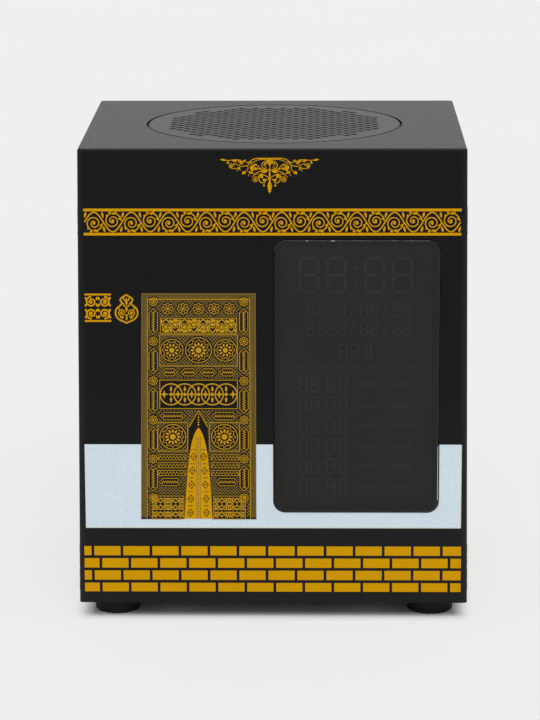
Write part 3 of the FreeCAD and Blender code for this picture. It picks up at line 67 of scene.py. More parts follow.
class Nodes:
    """A node tree and short ways to add to it."""

    def __init__(self, tree):
        self.tree = tree

    def node(self, kind, **settings):
        made = self.tree.nodes.new("ShaderNode" + kind)
        for key, value in settings.items():
            setattr(made, key, value)
        return made

    def link(self, source, target):
        self.tree.links.new(source, target)

    def maths(self, operation, *values):
        """A Math node over plain numbers and other nodes' outputs."""
        made = self.node("Math", operation=operation)
        for value, socket in zip(values, made.inputs):
            if isinstance(value, float):
                socket.default_value = value
            else:
                self.link(value, socket)
        return made.outputs[0]

    def part(self, source, axis):
        """One coordinate of a place or direction."""
        parts = self.node("SeparateXYZ")
        self.link(source, parts.inputs["Vector"])
        return parts.outputs[axis]


class Shader(Nodes):
    """One node material with its principled shader and the position that its textures follow."""

    def __init__(self, name):
        self.material = bpy.data.materials.new(name)
        self.material.use_nodes = True
        super().__init__(self.material.node_tree)
        self.surface = self.tree.nodes["Principled BSDF"]
        held = self.node("TexCoord")
        self.place = held.outputs["Object"]
        self.facing = held.outputs["Normal"]

    def texture(self, kind, place=None, **settings):
        made = self.node("Tex" + kind, **settings)
        self.link(place or self.place, made.inputs["Vector"])
        return made

    def noise(self, grain, detail=2.0, stretch=None):
        """Noise with features about grain millimetres across."""
        place = None
        if stretch:
            mapping = self.node("Mapping")
            mapping.inputs["Scale"].default_value = stretch
            self.link(self.place, mapping.inputs["Vector"])
            place = mapping.outputs["Vector"]
        made = self.texture("Noise", place)
        made.inputs["Scale"].default_value = 1.0 / (grain * MM)
        made.inputs["Detail"].default_value = detail
        return made.outputs["Fac"]

    def cells(self, size):
        """The distance from the middles of cells about size millimetres across."""
        made = self.texture("Voronoi", feature="F1")
        made.inputs["Scale"].default_value = 1.0 / (size * MM)
        return made.outputs["Distance"]

    def spread(self, value, low=0.0, high=1.0, start=0.35, end=0.65):
        """Value between start and end becomes low to high."""
        made = self.node("MapRange")
        self.link(value, made.inputs["Value"])
        for key, number in (("From Min", start), ("From Max", end), ("To Min", low), ("To Max", high)):
            made.inputs[key].default_value = number
        return made.outputs["Result"]

    def mix(self, factor, first, second):
        """Mixes two colours, each a tuple or another node's output."""
        made = self.node("Mix", data_type="RGBA")
        self.link(factor, made.inputs["Factor"])
        for key, colour in ((6, first), (7, second)):
            if isinstance(colour, tuple):
                made.inputs[key].default_value = (*colour, 1.0)
            else:
                self.link(colour, made.inputs[key])
        return made.outputs[2]

    def rim_share(self):
        """Rises to 1 towards the walls' upright corners and to 0.45 towards their foot, where the colour turns
        paler.
        """
        away = self.maths("ABSOLUTE", self.part(self.place, "X"))
        corner = self.spread(away, 0.0, 1.0, *PALER_CORNER)
        foot = self.spread(self.part(self.place, "Z"), 0.45, 0.0, *PALER_FOOT)
        return self.maths("MAXIMUM", corner, foot)

    def hole_share(self):
        """1 over the grille's perforated middle, holes and webs alike, and 0 at its rim: where its painted
        lighter shade goes.
        """
        flat = self.node("VectorMath", operation="MULTIPLY")
        flat.inputs[1].default_value = (1.0, 1.0, 0.0)
        self.link(self.place, flat.inputs[0])
        away = self.node("VectorMath", operation="LENGTH")
        self.link(flat.outputs["Vector"], away.inputs[0])
        return self.spread(away.outputs["Value"], 1.0, 0.0, *GRILLE_RIM)

    def paint_top_sheen(self, source, top_sheen, start):
        """Turns towards a painted sheen colour where the surface faces up: a lighter top that stands in for the
        light it catches.
        """
        return self.mix(self.spread(self.part(self.facing, "Z"), 0.0, 1.0, start, 0.95), source, top_sheen)

    def finish(self, colour, rough, *relief, shine=0.5, **values):
        """Links colour, roughness and layers of relief, each a height and its depth in mm, and sets the rest."""
        inputs = self.surface.inputs
        self.link(colour, inputs["Base Color"])
        if rough:
            self.link(rough, inputs["Roughness"])
        normal = None
        for source, depth in relief:
            made = self.node("Bump")
            made.inputs["Distance"].default_value = depth * MM
            self.link(source, made.inputs["Height"])
            if normal:
                self.link(normal, made.inputs["Normal"])
            normal = made.outputs["Normal"]
        if normal:
            self.link(normal, inputs["Normal"])
        values["Specular IOR Level"] = shine
        for key, value in values.items():
            inputs[key].default_value = value
        return self.material


def grey(value):
    return value, value, value


def shaded(colour, share):
    return tuple(share * part for part in colour)


def moulded(name, dark, pale, grain, rough, depth, shine=0.5):
    """A surface with two close shades, an uneven roughness and a fine relief."""
    made = Shader(name)
    fine = made.noise(grain, 3.0)
    broad = made.noise(grain * 40, 2.0)
    colour = made.mix(made.spread(broad), made.mix(made.spread(fine), dark, pale), dark)
    return made.finish(colour, made.spread(made.noise(grain * 6), *rough), (fine, depth), shine=shine)


def speckled_black(name, dark, pale, rough, speck, top_sheen, shine, painted_hole_light=None):
    """Black surface with spark grain, a painted sheen on its top faces and a few dust specks."""
    made = Shader(name)
    grain = made.noise(0.26, 3.0)
    broad = made.noise(14.0, 3.0)
    base = made.mix(made.spread(grain, 0.0, 1.0, 0.3, 0.7), dark, pale)
    base = made.mix(made.spread(broad, 0.0, 0.5), base, dark)
    # On the grille the perforated middle is painted a lighter shade that stands in for light on the hole walls.
    # The painted top sheen starts only on flatter faces, so the chamfer round the disc keeps its dark colour as
    # the shaded gap.
    if painted_hole_light:
        base = made.mix(made.hole_share(), base, painted_hole_light)
    else:
        # Elsewhere the walls turn paler towards their upright corners and towards their foot.
        base = made.mix(made.rim_share(), base, shaded(pale, 2.6))
    # Painted sheen: up-facing faces get a lighter colour that stands in for the light they reflect at a grazing
    # view.
    painted_sheen = made.mix(made.spread(grain, 0.0, 1.0, 0.3, 0.7), shaded(top_sheen, 0.72), top_sheen)
    dust = made.spread(made.cells(4.5), 1.0, 0.0, 0.012, 0.022)
    colour = made.mix(dust, made.paint_top_sheen(base, painted_sheen, 0.8 if painted_hole_light else 0.55), speck)
    return made.finish(colour, made.spread(made.noise(0.5, 2.0), *rough), (grain, 0.022), shine=shine)


def ink(name, colour, shade, shine, rough=(0.5, 0.6), grain=0.35):
    """A printed colour: slightly uneven, with a faint dot texture."""
    made = Shader(name)
    fine = made.noise(grain, 2.0)
    broad = made.noise(7.0, 2.0)
    mottled = made.mix(made.spread(fine), colour, shade)
    colour = made.mix(made.spread(broad, 0.0, 0.45), mottled, shade)
    return made.finish(colour, made.spread(broad, *rough), (fine, 0.006), shine=shine)


def brushed(name, dark, pale, rough, stretch):
    """Metal with fine lines along one direction."""
    made = Shader(name)
    lines = made.noise(0.5, 3.0, stretch)
    colour = made.mix(made.spread(lines), dark, pale)
    return made.finish(colour, made.spread(made.noise(3.0), *rough), (lines, 0.006), Metallic=1.0)


def woven(name, dark, pale, pitch, rough, depth, shine):
    """Cloth or pressed paper: crossed waves over a noise."""
    made = Shader(name)
    wave = made.texture("Wave", wave_type="BANDS", bands_direction="DIAGONAL")
    wave.inputs["Scale"].default_value = 1.0 / (pitch * MM) / 2
    wave.inputs["Distortion"].default_value = 1.5
    waves, fine = wave.outputs["Fac"], made.noise(pitch, 3.0)
    colour = made.mix(waves, dark, made.mix(made.spread(fine), dark, pale))
    return made.finish(colour, made.spread(fine, *rough), (waves, depth), (fine, depth / 2), shine=shine)


def window_tint():
    """Glossy smoked plastic: a little of what lies behind shows through."""
    made = Shader("window_tint")
    haze = made.noise(18.0, 3.0)
    colour = made.mix(made.spread(haze), (0.010, 0.010, 0.011), (0.013, 0.012, 0.013))
    rough = made.spread(made.noise(9.0, 4.0), 0.03, 0.075)
    return made.finish(colour, rough, shine=0.34, Alpha=0.66, IOR=1.49)


def figure_tint(name, warm, cool):
    """The unlit parts of the display, warm in some places and cool in others."""
    made = Shader(name)
    patches = made.spread(made.noise(11.0, 1.0), 0.0, 1.0, 0.45, 0.55)
    fine = made.noise(0.6, 2.0)
    colour = made.mix(made.spread(fine, 0.0, 0.25), made.mix(patches, warm, cool), cool)
    return made.finish(colour, made.spread(fine, 0.5, 0.6), shine=0.2)


def laminate(name, mask, copper):
    """Lacquered circuit board with tracks under the mask."""
    made = Shader(name)
    brick = made.texture("Brick")
    for key, size in (("Brick Width", 3.1), ("Row Height", 0.9), ("Mortar Size", 0.12)):
        brick.inputs[key].default_value = size * MM
    for key, colour in (("Color1", mask), ("Color2", shaded(mask, 1.25)), ("Mortar", copper)):
        brick.inputs[key].default_value = (*colour, 1.0)
    brick.inputs["Scale"].default_value = 1.0
    rough = made.spread(made.noise(4.0), 0.25, 0.35)
    return made.finish(brick.outputs["Color"], rough, (brick.outputs["Fac"], 0.03))


# For each builder its rows: the slot, then what the builder needs.
FINISHES = {
    speckled_black: (
        # The colour before the shine number is a painted top sheen, a lighter colour that stands in for light on
        # up-facing faces.
        ("black_plastic", (0.0032, 0.0033, 0.0035), (0.0056, 0.0057, 0.0060), (0.34, 0.44),
         grey(0.045), (0.028, 0.034, 0.031), 0.11),
        # The grille row's last colour is painted light: a lighter shade over the perforated middle for the light
        # on its hole walls.
        ("black_grille", (0.006, 0.0065, 0.007), (0.009, 0.0095, 0.010), (0.36, 0.46),
         grey(0.05), (0.050, 0.056, 0.055), 0.14, (0.056, 0.057, 0.057)),
    ),
    moulded: (
        ("foot_rubber", grey(0.008), grey(0.013), 0.3, (0.6, 0.8), 0.02, 0.16),
        ("black_foam", grey(0.008), grey(0.02), 0.5, (0.8, 0.95), 0.08, 0.2),
        ("smoke_film", (0.010, 0.010, 0.011), (0.013, 0.013, 0.014), 0.6, (0.5, 0.6), 0.01, 0.3),
        ("grey_plastic", grey(0.18), grey(0.24), 0.4, (0.45, 0.6), 0.02, 0.4),
        ("lamp_plastic", (0.7, 0.68, 0.55), (0.8, 0.78, 0.66), 0.3, (0.25, 0.35), 0.01),
        ("cream_plastic", (0.62, 0.57, 0.45), (0.7, 0.65, 0.54), 0.4, (0.4, 0.5), 0.02),
        ("cable_sleeve", (0.32, 0.012, 0.010), (0.42, 0.02, 0.015), 0.5, (0.45, 0.6), 0.01),
        ("chip_plastic", grey(0.012), grey(0.022), 0.2, (0.5, 0.65), 0.015),
        ("painted_steel", grey(0.012), grey(0.022), 0.4, (0.35, 0.5), 0.02),
        ("ferrite", (0.02, 0.02, 0.022), (0.045, 0.045, 0.05), 0.6, (0.65, 0.8), 0.04),
        ("surround_rubber", grey(0.008), grey(0.014), 0.5, (0.45, 0.6), 0.01),
        ("cell_sleeve", (0.015, 0.08, 0.25), (0.02, 0.11, 0.32), 0.5, (0.25, 0.35), 0.01),
    ),
    brushed: (
        ("steel", (0.42, 0.42, 0.43), (0.6, 0.6, 0.61), (0.28, 0.42), (1.0, 1.0, 6.0)),
        ("tin_plate", (0.55, 0.55, 0.54), (0.68, 0.68, 0.67), (0.25, 0.4), (1.0, 5.0, 1.0)),
        ("can_aluminium", (0.55, 0.56, 0.58), (0.66, 0.67, 0.69), (0.3, 0.4), (5.0, 1.0, 1.0)),
        ("copper", (0.55, 0.2, 0.08), (0.72, 0.32, 0.14), (0.25, 0.35), (1.0, 1.0, 8.0)),
        ("brass_terminal", (0.6, 0.42, 0.16), (0.72, 0.54, 0.24), (0.25, 0.4), (1.0, 6.0, 1.0)),
    ),
    woven: (
        ("cone_paper", grey(0.008), grey(0.02), 0.6, (0.7, 0.85), 0.05, 0.3),
        ("spider_cloth", (0.36, 0.24, 0.08), (0.5, 0.36, 0.15), 0.5, (0.8, 0.9), 0.06, 0.2),
    ),
    laminate: (
        ("circuit_board", (0.01, 0.085, 0.035), (0.04, 0.17, 0.06)),
    ),
}


def dress_nodes():
    """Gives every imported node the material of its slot."""
    finishes = {slot: build(slot, *looks) for build, rows in FINISHES.items() for slot, *looks in rows}
    finishes["tinted_window"] = window_tint()
    for row in frame["record"]["subparts"]:
        shown = frame["nodes"][row["node"]]
        shown.data.materials.clear()
        shown.data.materials.append(finishes[row["material_slot"]])
    return finishes


# Thin prints, gathered shape by shape into one mesh

def place_object(name, data):
    """Puts a new object into the scene."""
    made = bpy.data.objects.new(name, data)
    bpy.context.scene.collection.objects.link(made)
    return made


def closed_piece(name, points, faces, material):
    """A closed mesh that rides on the body, from points in millimetres."""
    mesh = bpy.data.meshes.new(name)
    mesh.from_pydata([Vector(point) * MM for point in points], [], faces)
    shaped = bmesh.new()
    shaped.from_mesh(mesh)
    bmesh.ops.recalc_face_normals(shaped, faces=shaped.faces)
    shaped.to_mesh(mesh)
    shaped.free()
    mesh.materials.append(material)
    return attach(place_object(name, mesh), "body")


def on_front(u, v, lift):
    return u, FRONT - lift, v


def on_back(u, v, lift):
    return u, BACK + lift, v


def wall_half(height):
    """Half the outside width of the drafted walls at a height."""
    share = (WALL_TOP - height) / (WALL_TOP - BODY_BOTTOM)
    return HALF_TOP + (HALF_BOTTOM - HALF_TOP) * share


def on_window_edge(u, v, lift):
    """The bevel around the window's front, and the flat inside it."""
    reach = []
    for place, first, last in ((u, WINDOW_LOW.x, WINDOW_HIGH.x), (v, WINDOW_LOW.z, WINDOW_HIGH.z)):
        reach.append(max(abs(place - (first + last) / 2) - (last - first) / 2 + WINDOW_RADIUS, 0.0))
    inset = min(max(WINDOW_RADIUS - hypot(*reach), 0.0), WINDOW_BEVEL)
    return u, WINDOW_LOW.y + WINDOW_BEVEL - inset - lift, v


def on_right(u, v, lift):
    return wall_half(v) + lift, u, v


def on_left(u, v, lift):
    return -wall_half(v) - lift, -u, v


def inside_window(u, v, lift):
    return u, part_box("display_diffuser")[0].y / MM - lift, v


class Print:
    """Flat shapes of one colour on one face of the object, in millimetres along that face."""

    def __init__(self, place, base):
        self.place = place
        self.base = base
        self.points = []
        self.faces = []
        self.count = 0

    def levels(self):
        self.count += 1
        return self.base + LIFT_STEP * (self.count % LIFT_LEVELS), -EMBED

    def plate(self, outline):
        """Fills a closed outline."""
        first = len(self.points)
        size = len(outline)
        for level in self.levels():
            self.points += [self.place(u, v, level) for u, v in outline]
        near, far = range(first, first + size), range(first + size, first + 2 * size)
        self.faces += [tuple(near), tuple(reversed(far))]
        for k in range(size):
            j = (k + 1) % size
            self.faces.append((near[k], far[k], far[j], near[j]))

    def line(self, path, width, closed=False):
        """Draws a stroke along a path. Width is one number, or a function of the share of the way along."""
        size = len(path)
        first = len(self.points)
        front, behind = self.levels()
        for k, (u, v) in enumerate(path):
            if closed:
                before, after = path[k - 1], path[(k + 1) % size]
            else:
                before, after = path[max(k - 1, 0)], path[min(k + 1, size - 1)]
            du, dv = after[0] - before[0], after[1] - before[1]
            length = hypot(du, dv) or 1.0
            half = (width(k / (size - 1)) if callable(width) else width) / 2
            nu, nv = -dv / length * half, du / length * half
            for level in (front, behind):
                self.points.append(self.place(u + nu, v + nv, level))
                self.points.append(self.place(u - nu, v - nv, level))
        for k in range(size if closed else size - 1):
            here, there = first + 4 * k, first + 4 * ((k + 1) % size)
            for a, b in ((0, 1), (3, 2), (2, 0), (1, 3)):
                self.faces.append((here + a, here + b, there + b, there + a))
        if not closed:
            last = first + 4 * (size - 1)
            self.faces.append((first, first + 2, first + 3, first + 1))
            self.faces.append((last, last + 1, last + 3, last + 2))

    def box(self, left, bottom, right, top):
        self.plate([(left, bottom), (right, bottom), (right, top), (left, top)])

    def frame(self, left, bottom, right, top, width):
        """Four strokes that lie inside a rectangle's edge."""
        self.box(left, bottom, right, bottom + width)
        self.box(left, top - width, right, top)
        self.box(left, bottom + width, left + width, top - width)
        self.box(right - width, bottom + width, right, top - width)

    def dot(self, u, v, radius, sides=12):
        self.plate(star(u, v, radius, radius, sides // 2))

    def ring(self, u, v, radius, half_sides, width):
        """A round stroke, with twice so many sides."""
        self.line(star(u, v, radius, radius, half_sides), width, closed=True)

    def finish(self, name, material):
        """Makes the mesh of all that was drawn."""
        closed_piece(name, self.points, self.faces, material)


def around(u, v, radius, angle):
    """The point at a distance and an angle from (u, v)."""
    return u + radius * cos(angle), v + radius * sin(angle)


def aside(u, v, du, dv, along, side):
    """The point so far from (u, v) along the direction (du, dv), and so far to its left."""
    return u + du * along - dv * side, v + dv * along + du * side


def star(u, v, outer, inner, tips, turn=0.0):
    """The outline of a star, or of a round shape where both radii are the same."""
    return [around(u, v, inner if k % 2 else outer, turn + pi * k / tips) for k in range(2 * tips)]


def smooth(points, steps):
    """A soft curve through the points."""
    last = len(points) - 1
    path = []
    for k in range(last):
        four = [points[min(max(k + step, 0), last)] for step in (-1, 0, 1, 2)]
        for step in range(steps):
            t = step / steps
            path.append(tuple(blend(*parts, t) for parts in zip(*four)))
    return path + [points[-1]]


def blend(p, q, r, s, t):
    """The share t of the way from q to r, on a soft curve that passes p before them and s after them."""
    square, cube = 2 * p - 5 * q + 4 * r - s, 3 * q - p - 3 * r + s
    return 0.5 * (2 * q + (r - p) * t + square * t ** 2 + cube * t ** 3)


def spiral(u, v, start, end, angle, turns, flip):
    """A curl that closes in on its middle. Flip -1 turns it the other way round."""
    count = int(turns * STEPS_PER_TURN)
    path = []
    for k in range(count + 1):
        t = k / count
        path.append(around(u, v, start + (end - start) * t, angle + flip * 2 * pi * turns * t))
    return path


def leaf(u, v, angle, length, width):
    """A pointed leaf from its stalk at (u, v)."""
    du, dv = cos(angle), sin(angle)
    outline = []
    for side, shares in ((1, (0.0, 0.2, 0.45, 0.75, 1.0)), (-1, (0.75, 0.45, 0.2))):
        for share in shares:
            half = side * width / 2 * sin(pi * share ** 0.8)
            outline.append(aside(u, v, du, dv, length * share, half))
    return outline


def tapered(thick, thin):
    return lambda t: thick + (thin - thick) * t


# The motifs

def vine(drawn, left, right, bottom, top, cells, stroke=0.34, turns=1.9):
    """A running scroll: a waving stem with a curl in each bend and leaves in the gaps."""
    middle, reach = (bottom + top) / 2, (top - bottom) / 2
    cell = (right - left) / cells
    size = min(cell / 2, reach) * 0.93
    for k in range(cells):
        up = -1 if k % 2 else 1
        u, heart = left + cell * (k + 0.5), middle - up * 0.12 * reach
        swing = up * (reach - stroke / 2)
        stem = [(u - cell / 2 + cell * t / 10, middle + swing * sin(pi * t / 10)) for t in range(11)]
        drawn.line(stem, stroke * 1.1)
        drawn.line(spiral(u, heart, size, 0.42, 0.0, turns, -up), tapered(stroke, stroke * 0.8))
        drawn.dot(u, heart, 0.42)
        for side in (-1, 1):
            angle = up * (side * 0.25 - pi / 2)
            drawn.plate(leaf(u + side * cell * 0.42, middle + up * reach * 0.98, angle, reach * 0.62, 0.66))
        for angle, length in ((0.15, 1.15), (0.5, 1.3), (0.85, 1.15)):
            turned = pi * angle
            drawn.plate(leaf(*around(u, heart, size * 0.72, -up * turned), -up * (turned - 1.0), length, 0.5))
        for side, back in ((-1, 0.0), (1, pi)):
            angle = back - side * up * 0.35
            drawn.plate(leaf(u + side * cell * 0.24, middle - up * (reach - 0.1), angle, 1.3, 0.55))


def scroll_field(drawn, left, right, bottom, top, columns, rows, stroke, turns):
    """A rectangle filled with mirrored curls, dots and leaves."""
    wide, high = (right - left) / columns, (top - bottom) / rows
    size = min(wide, high) / 2 * 0.9
    for column in range(columns):
        for row in range(rows):
            u, v = left + wide * (column + 0.5), bottom + high * (row + 0.5)
            flip = 1 if (column + row) % 2 else -1
            start = pi / 2 if row % 2 else -pi / 2
            drawn.line(spiral(u, v, size, size * 0.2, start, turns, flip), tapered(stroke, stroke * 0.75))
            drawn.dot(u, v, size * 0.24, 8)
            for side in (-1, 1):
                for up in (-1, 1):
                    angle = -up * (pi / 2 + side * 0.35)
                    stalk = (u + side * wide * 0.47, v + up * high * 0.42)
                    drawn.plate(leaf(*stalk, angle, high * 0.34, stroke * 1.3))


def rosette(drawn, ground, u, v, radius, petals, stroke):
    """A round flower on its own dark ground."""
    ground.dot(u, v, radius + 0.35, 32)
    drawn.ring(u, v, radius - stroke / 2, 16, stroke)
    drawn.line(star(u, v, radius * 0.84, radius * 0.66, petals), stroke, closed=True)
    for k in range(petals):
        angle = 2 * pi * k / petals
        drawn.plate(leaf(*around(u, v, radius * 0.3, angle), angle, radius * 0.34, radius * 0.17))
    drawn.dot(u, v, radius * 0.22)


def eight_star(drawn, ground, u, v, radius):
    """Two crossed squares with a small flower between them."""
    stroke, notch = 0.2, radius * 0.77
    ground.plate(star(u, v, radius + 0.4, notch + 0.4, 8))
    drawn.line(star(u, v, radius - stroke / 2, notch - stroke / 2, 8), stroke, closed=True)
    drawn.line(star(u, v, radius * 0.52, radius * 0.34, 8, pi / 8), stroke * 0.9, closed=True)
    drawn.dot(u, v, radius * 0.2, 8)
    for k in range(8):
        drawn.dot(*around(u, v, radius * 0.66, pi * k / 4 + pi / 8), 0.14, 6)


def long_lozenge(drawn, ground, u, v, half_wide, half_high, stroke=0.18):
    """A pointed cartouche along its longer side, with a toothed line in it."""
    tip = min(half_wide, half_high)
    upright = half_high > half_wide
    if upright:
        corners = [(0, half_high), (half_wide, half_high - tip), (half_wide, tip - half_high)]
    else:
        corners = [(half_wide, 0), (half_wide - tip, half_high), (tip - half_wide, half_high)]
    corners += [(-a, -b) for a, b in corners]
    ground.plate([(u + a * (1 + 0.42 / half_wide), v + b * (1 + 0.42 / half_high)) for a, b in corners])
    drawn.line([(u + a, v + b) for a, b in corners], stroke, closed=True)
    reach = (half_high if upright else half_wide) - tip * 0.75
    ends = ((u, v - reach), (u, v + reach)) if upright else ((u - reach, v), (u + reach, v))
    zigzag(drawn, *ends, tip * 0.62, tip * 0.42, stroke * 1.25)
    drawn.line(ends, stroke * 0.9)


def direction(start, end):
    """The length of the way between two points, and its direction."""
    length = dist(start, end)
    return length, (end[0] - start[0]) / length, (end[1] - start[1]) / length


def zigzag(drawn, start, end, pitch, reach, stroke):
    """A toothed line between two points."""
    length, *way = direction(start, end)
    count = max(2, round(length / pitch) * 2)
    sides = (-reach, reach)
    drawn.line([aside(*start, *way, length * k / count, sides[k % 2]) for k in range(count + 1)], stroke)


def net(drawn, left, right, bottom, top, pitch, stroke):
    """A fine diagonal net with a dot in each mesh, cut off at a rectangle."""
    wide, high = right - left, top - bottom
    for k in range(1, int((wide + high) / pitch) + 1):
        c = k * pitch
        start = (left + max(0.0, c - high), bottom + min(c, high))
        ends = (start, (left + min(c, wide), bottom + max(0.0, c - wide)))
        drawn.line(ends, stroke)
        drawn.line([(left + right - u, v) for u, v in ends], stroke)
    for row in range(int(2 * high / pitch)):
        v = bottom + pitch * (row + 1) / 2
        offset = (pitch / 2) * (row % 2)
        for column in range(int(wide / pitch) + 1):
            u = left + pitch * column + offset
            if left < u < right and v < top:
                drawn.plate(star(u, v, stroke * 0.7, stroke * 0.7, 2, pi))


# Front prints, at heights above the body's bottom

def high(value):
    return BODY_BOTTOM + value


TOP_MIDDLE = (-0.7, 136.0)
# Each stroke's widths at its start and end, then its points.
CURVES = [
    (0.34, 0.24, (0.05, -0.05), (1.5, -0.02), (3.6, -0.05), (4.9, -0.45), (5.7, -1.3)),
    (0.3, 0.2, (0.2, -0.5), (1.2, -0.45), (2.0, -0.25), (3.3, -0.5), (4.4, -1.0), (5.2, -1.9)),
    (0.2, 0.3, (0.2, -3.4), (0.1, -2.2), (0.6, -1.3), (1.4, -1.0), (2.1, -1.5), (2.2, -2.2),
     (1.7, -2.9), (0.9, -2.7)),
    (0.2, 0.28, (0.3, -3.5), (0.9, -3.2), (1.7, -3.3), (2.6, -2.9), (3.2, -2.2), (3.9, -2.0),
     (4.5, -2.6), (4.2, -3.4)),
    (0.22, 0.28, (0.1, -6.6), (0.35, -5.6), (0.9, -5.1), (1.9, -4.7), (2.8, -5.4), (2.9, -6.3),
     (2.2, -7.0), (1.2, -6.9)),
    (0.24, 0.16, (1.6, -3.5), (3.2, -3.9), (4.4, -4.5), (5.6, -4.4), (6.0, -5.1)),
    (0.2, 0.14, (3.1, -4.4), (4.0, -4.6), (5.1, -5.3)),
    (0.26, 0.16, (5.5, -1.5), (6.4, -2.1), (7.6, -2.3), (8.5, -2.5), (8.9, -3.2), (9.2, -3.8)),
    (0.2, 0.26, (6.2, -2.0), (6.1, -3.0), (6.7, -3.8), (7.4, -3.9)),
    (0.24, 0.22, (8.4, -2.4), (9.3, -2.9), (10.3, -2.9), (11.2, -2.6), (11.3, -1.8), (10.7, -1.5),
     (10.4, -2.1)),
    (0.2, 0.22, (7.5, -1.7), (8.4, -0.9), (9.5, -0.4), (10.6, -0.5), (11.8, -0.6), (13.0, -0.3),
     (13.6, -0.25)),
    (0.16, 0.2, (6.2, -1.4), (7.0, -0.9), (7.9, -1.6), (8.8, -2.0), (9.6, -1.4)),
]
LEAVES = [
    (0.1, -0.35, -0.9, 1.6, 0.6), (0.5, -3.5, -0.35, 1.9, 0.75), (1.0, -3.9, 0.35, 1.6, 0.5),
    (2.6, -4.4, -2.0, 1.5, 1.0), (2.2, -4.3, -1.1, 1.5, 0.9), (3.6, -1.6, -0.5, 1.8, 0.6),
    (5.4, -2.1, -2.0, 1.8, 0.9), (5.9, -3.7, -2.6, 1.7, 0.8), (4.9, -1.0, -0.2, 1.5, 0.5),
    (7.2, -3.6, -1.1, 1.2, 0.6), (7.6, -1.5, 0.7, 1.9, 0.75), (9.2, -0.9, 0.25, 1.6, 0.6),
    (11.4, -0.9, -0.6, 0.9, 0.5), (12.3, -0.6, 0.15, 1.7, 0.5), (1.6, -2.0, 2.2, 0.9, 0.6),
    (8.8, -2.6, -2.2, 1.1, 0.4), (3.4, -2.6, -1.0, 1.0, 0.5), (0.9, -1.7, -0.5, 1.0, 0.5),
    (6.6, -0.5, -0.3, 1.3, 0.42), (8.2, -0.35, -0.9, 1.1, 0.4), (10.0, -1.3, -1.6, 0.9, 0.36),
    (4.6, -3.4, -0.6, 1.1, 0.4), (2.5, -3.2, 0.4, 0.9, 0.36), (0.7, -5.9, -0.7, 1.2, 0.4),
]
BERRIES = [
    (1.35, -1.95, 0.4), (3.95, -2.9, 0.34), (1.6, -6.2, 0.38), (1.6, -7.75, 0.3), (4.0, -6.0, 0.36),
    (7.1, -4.2, 0.34), (10.75, -2.25, 0.36), (11.8, -1.35, 0.26), (3.0, -5.2, 0.34), (5.2, -2.6, 0.34),
]
CREST_STROKE = 0.84
# The right halves of the crest's spine and of the flame leaf below it.
SPINE = ((0.75, 0.02), (0.42, -0.7), (0.22, -1.6), (0.16, -3.4), (0.24, -5.2), (0.14, -6.2))
FLAME = ((0.0, -6.0), (0.38, -7.0), (0.55, -7.7), (0.5, -8.4), (0.3, -9.1), (0.0, -10.2))


def mirrored(half, middle):
    """The other half of an outline, back to its start."""
    return [(2 * middle - u, v) for u, v in reversed(half)]


def crest(drawn):
    """A mirrored scroll that points down, with a flame leaf below it."""
    middle, top = TOP_MIDDLE

    def turned(points, side):
        return [(middle + side * u, top + v) for u, v in points]

    for side in (-1, 1):
        for thick, thin, *points in CURVES:
            drawn.line(smooth(turned(points, side), 5), tapered(CREST_STROKE * thick, CREST_STROKE * thin))
        for row in LEAVES:
            drawn.plate(turned(leaf(*row), side))
        for u, v, radius in BERRIES:
            drawn.plate(turned(star(u, v, radius, radius, 5), side))
        drawn.line(turned(star(4.0, -6.0, 0.72, 0.72, 7), side), 0.16, closed=True)
        for level, reach in ((-8.4, 1.0), (-9.0, 0.85), (-9.6, 0.6)):
            drawn.plate(turned(leaf(0.0, level, 0.75, reach, 0.42), side))
    for half, shared in ((SPINE, 0), (FLAME, 1)):
        right = turned(half, 1)
        drawn.plate(right + mirrored(right[shared:len(right) - shared], middle))


BAND_BOTTOM, BAND_TOP = high(108.9), high(116.62)
BAND_LINE = 0.76


def band(drawn, left, right, cells):
    """Two gold lines with a running scroll between them."""
    drawn.box(left, BAND_BOTTOM, right, BAND_BOTTOM + BAND_LINE)
    drawn.box(left, BAND_TOP - BAND_LINE, right, BAND_TOP)
    vine(drawn, left + 0.3, right - 0.3, BAND_BOTTOM + BAND_LINE + 0.12, BAND_TOP - BAND_LINE - 0.12, cells)


def small_panel(drawn):
    """The square ornament at the left, between two short gold lines."""
    left, right = -53.55, -46.0
    for bottom, top in ((high(83.82), high(84.34)), (high(91.55), high(92.05))):
        drawn.box(left, bottom, right, top)
    scroll_field(drawn, left + 0.1, right - 0.1, high(84.5), high(91.4), 2, 2, 0.5, 1.6)


PEAR = (
    (0.0, 91.7), (0.9, 91.15), (1.66, 90.55), (1.74, 90.1), (1.4, 89.5), (1.32, 89.1), (1.9, 88.5),
    (2.75, 87.8), (3.15, 86.7), (2.95, 85.5), (2.1, 84.5), (0.95, 83.95), (0.0, 83.5),
)
PEAR_BUDS = ((0.5, 85.6, 2.6), (2.35, 87.3, 2.2), (1.0, 84.6, 0.9), (0.75, 88.9, 1.1), (0.9, 90.4, 1.9))
PEAR_LEAVES = ((0.2, 88.2, 0.9, 1.1, 0.5), (1.9, 85.0, -1.3, 1.3, 0.45), (0.35, 89.9, 0.7, 1.0, 0.4))


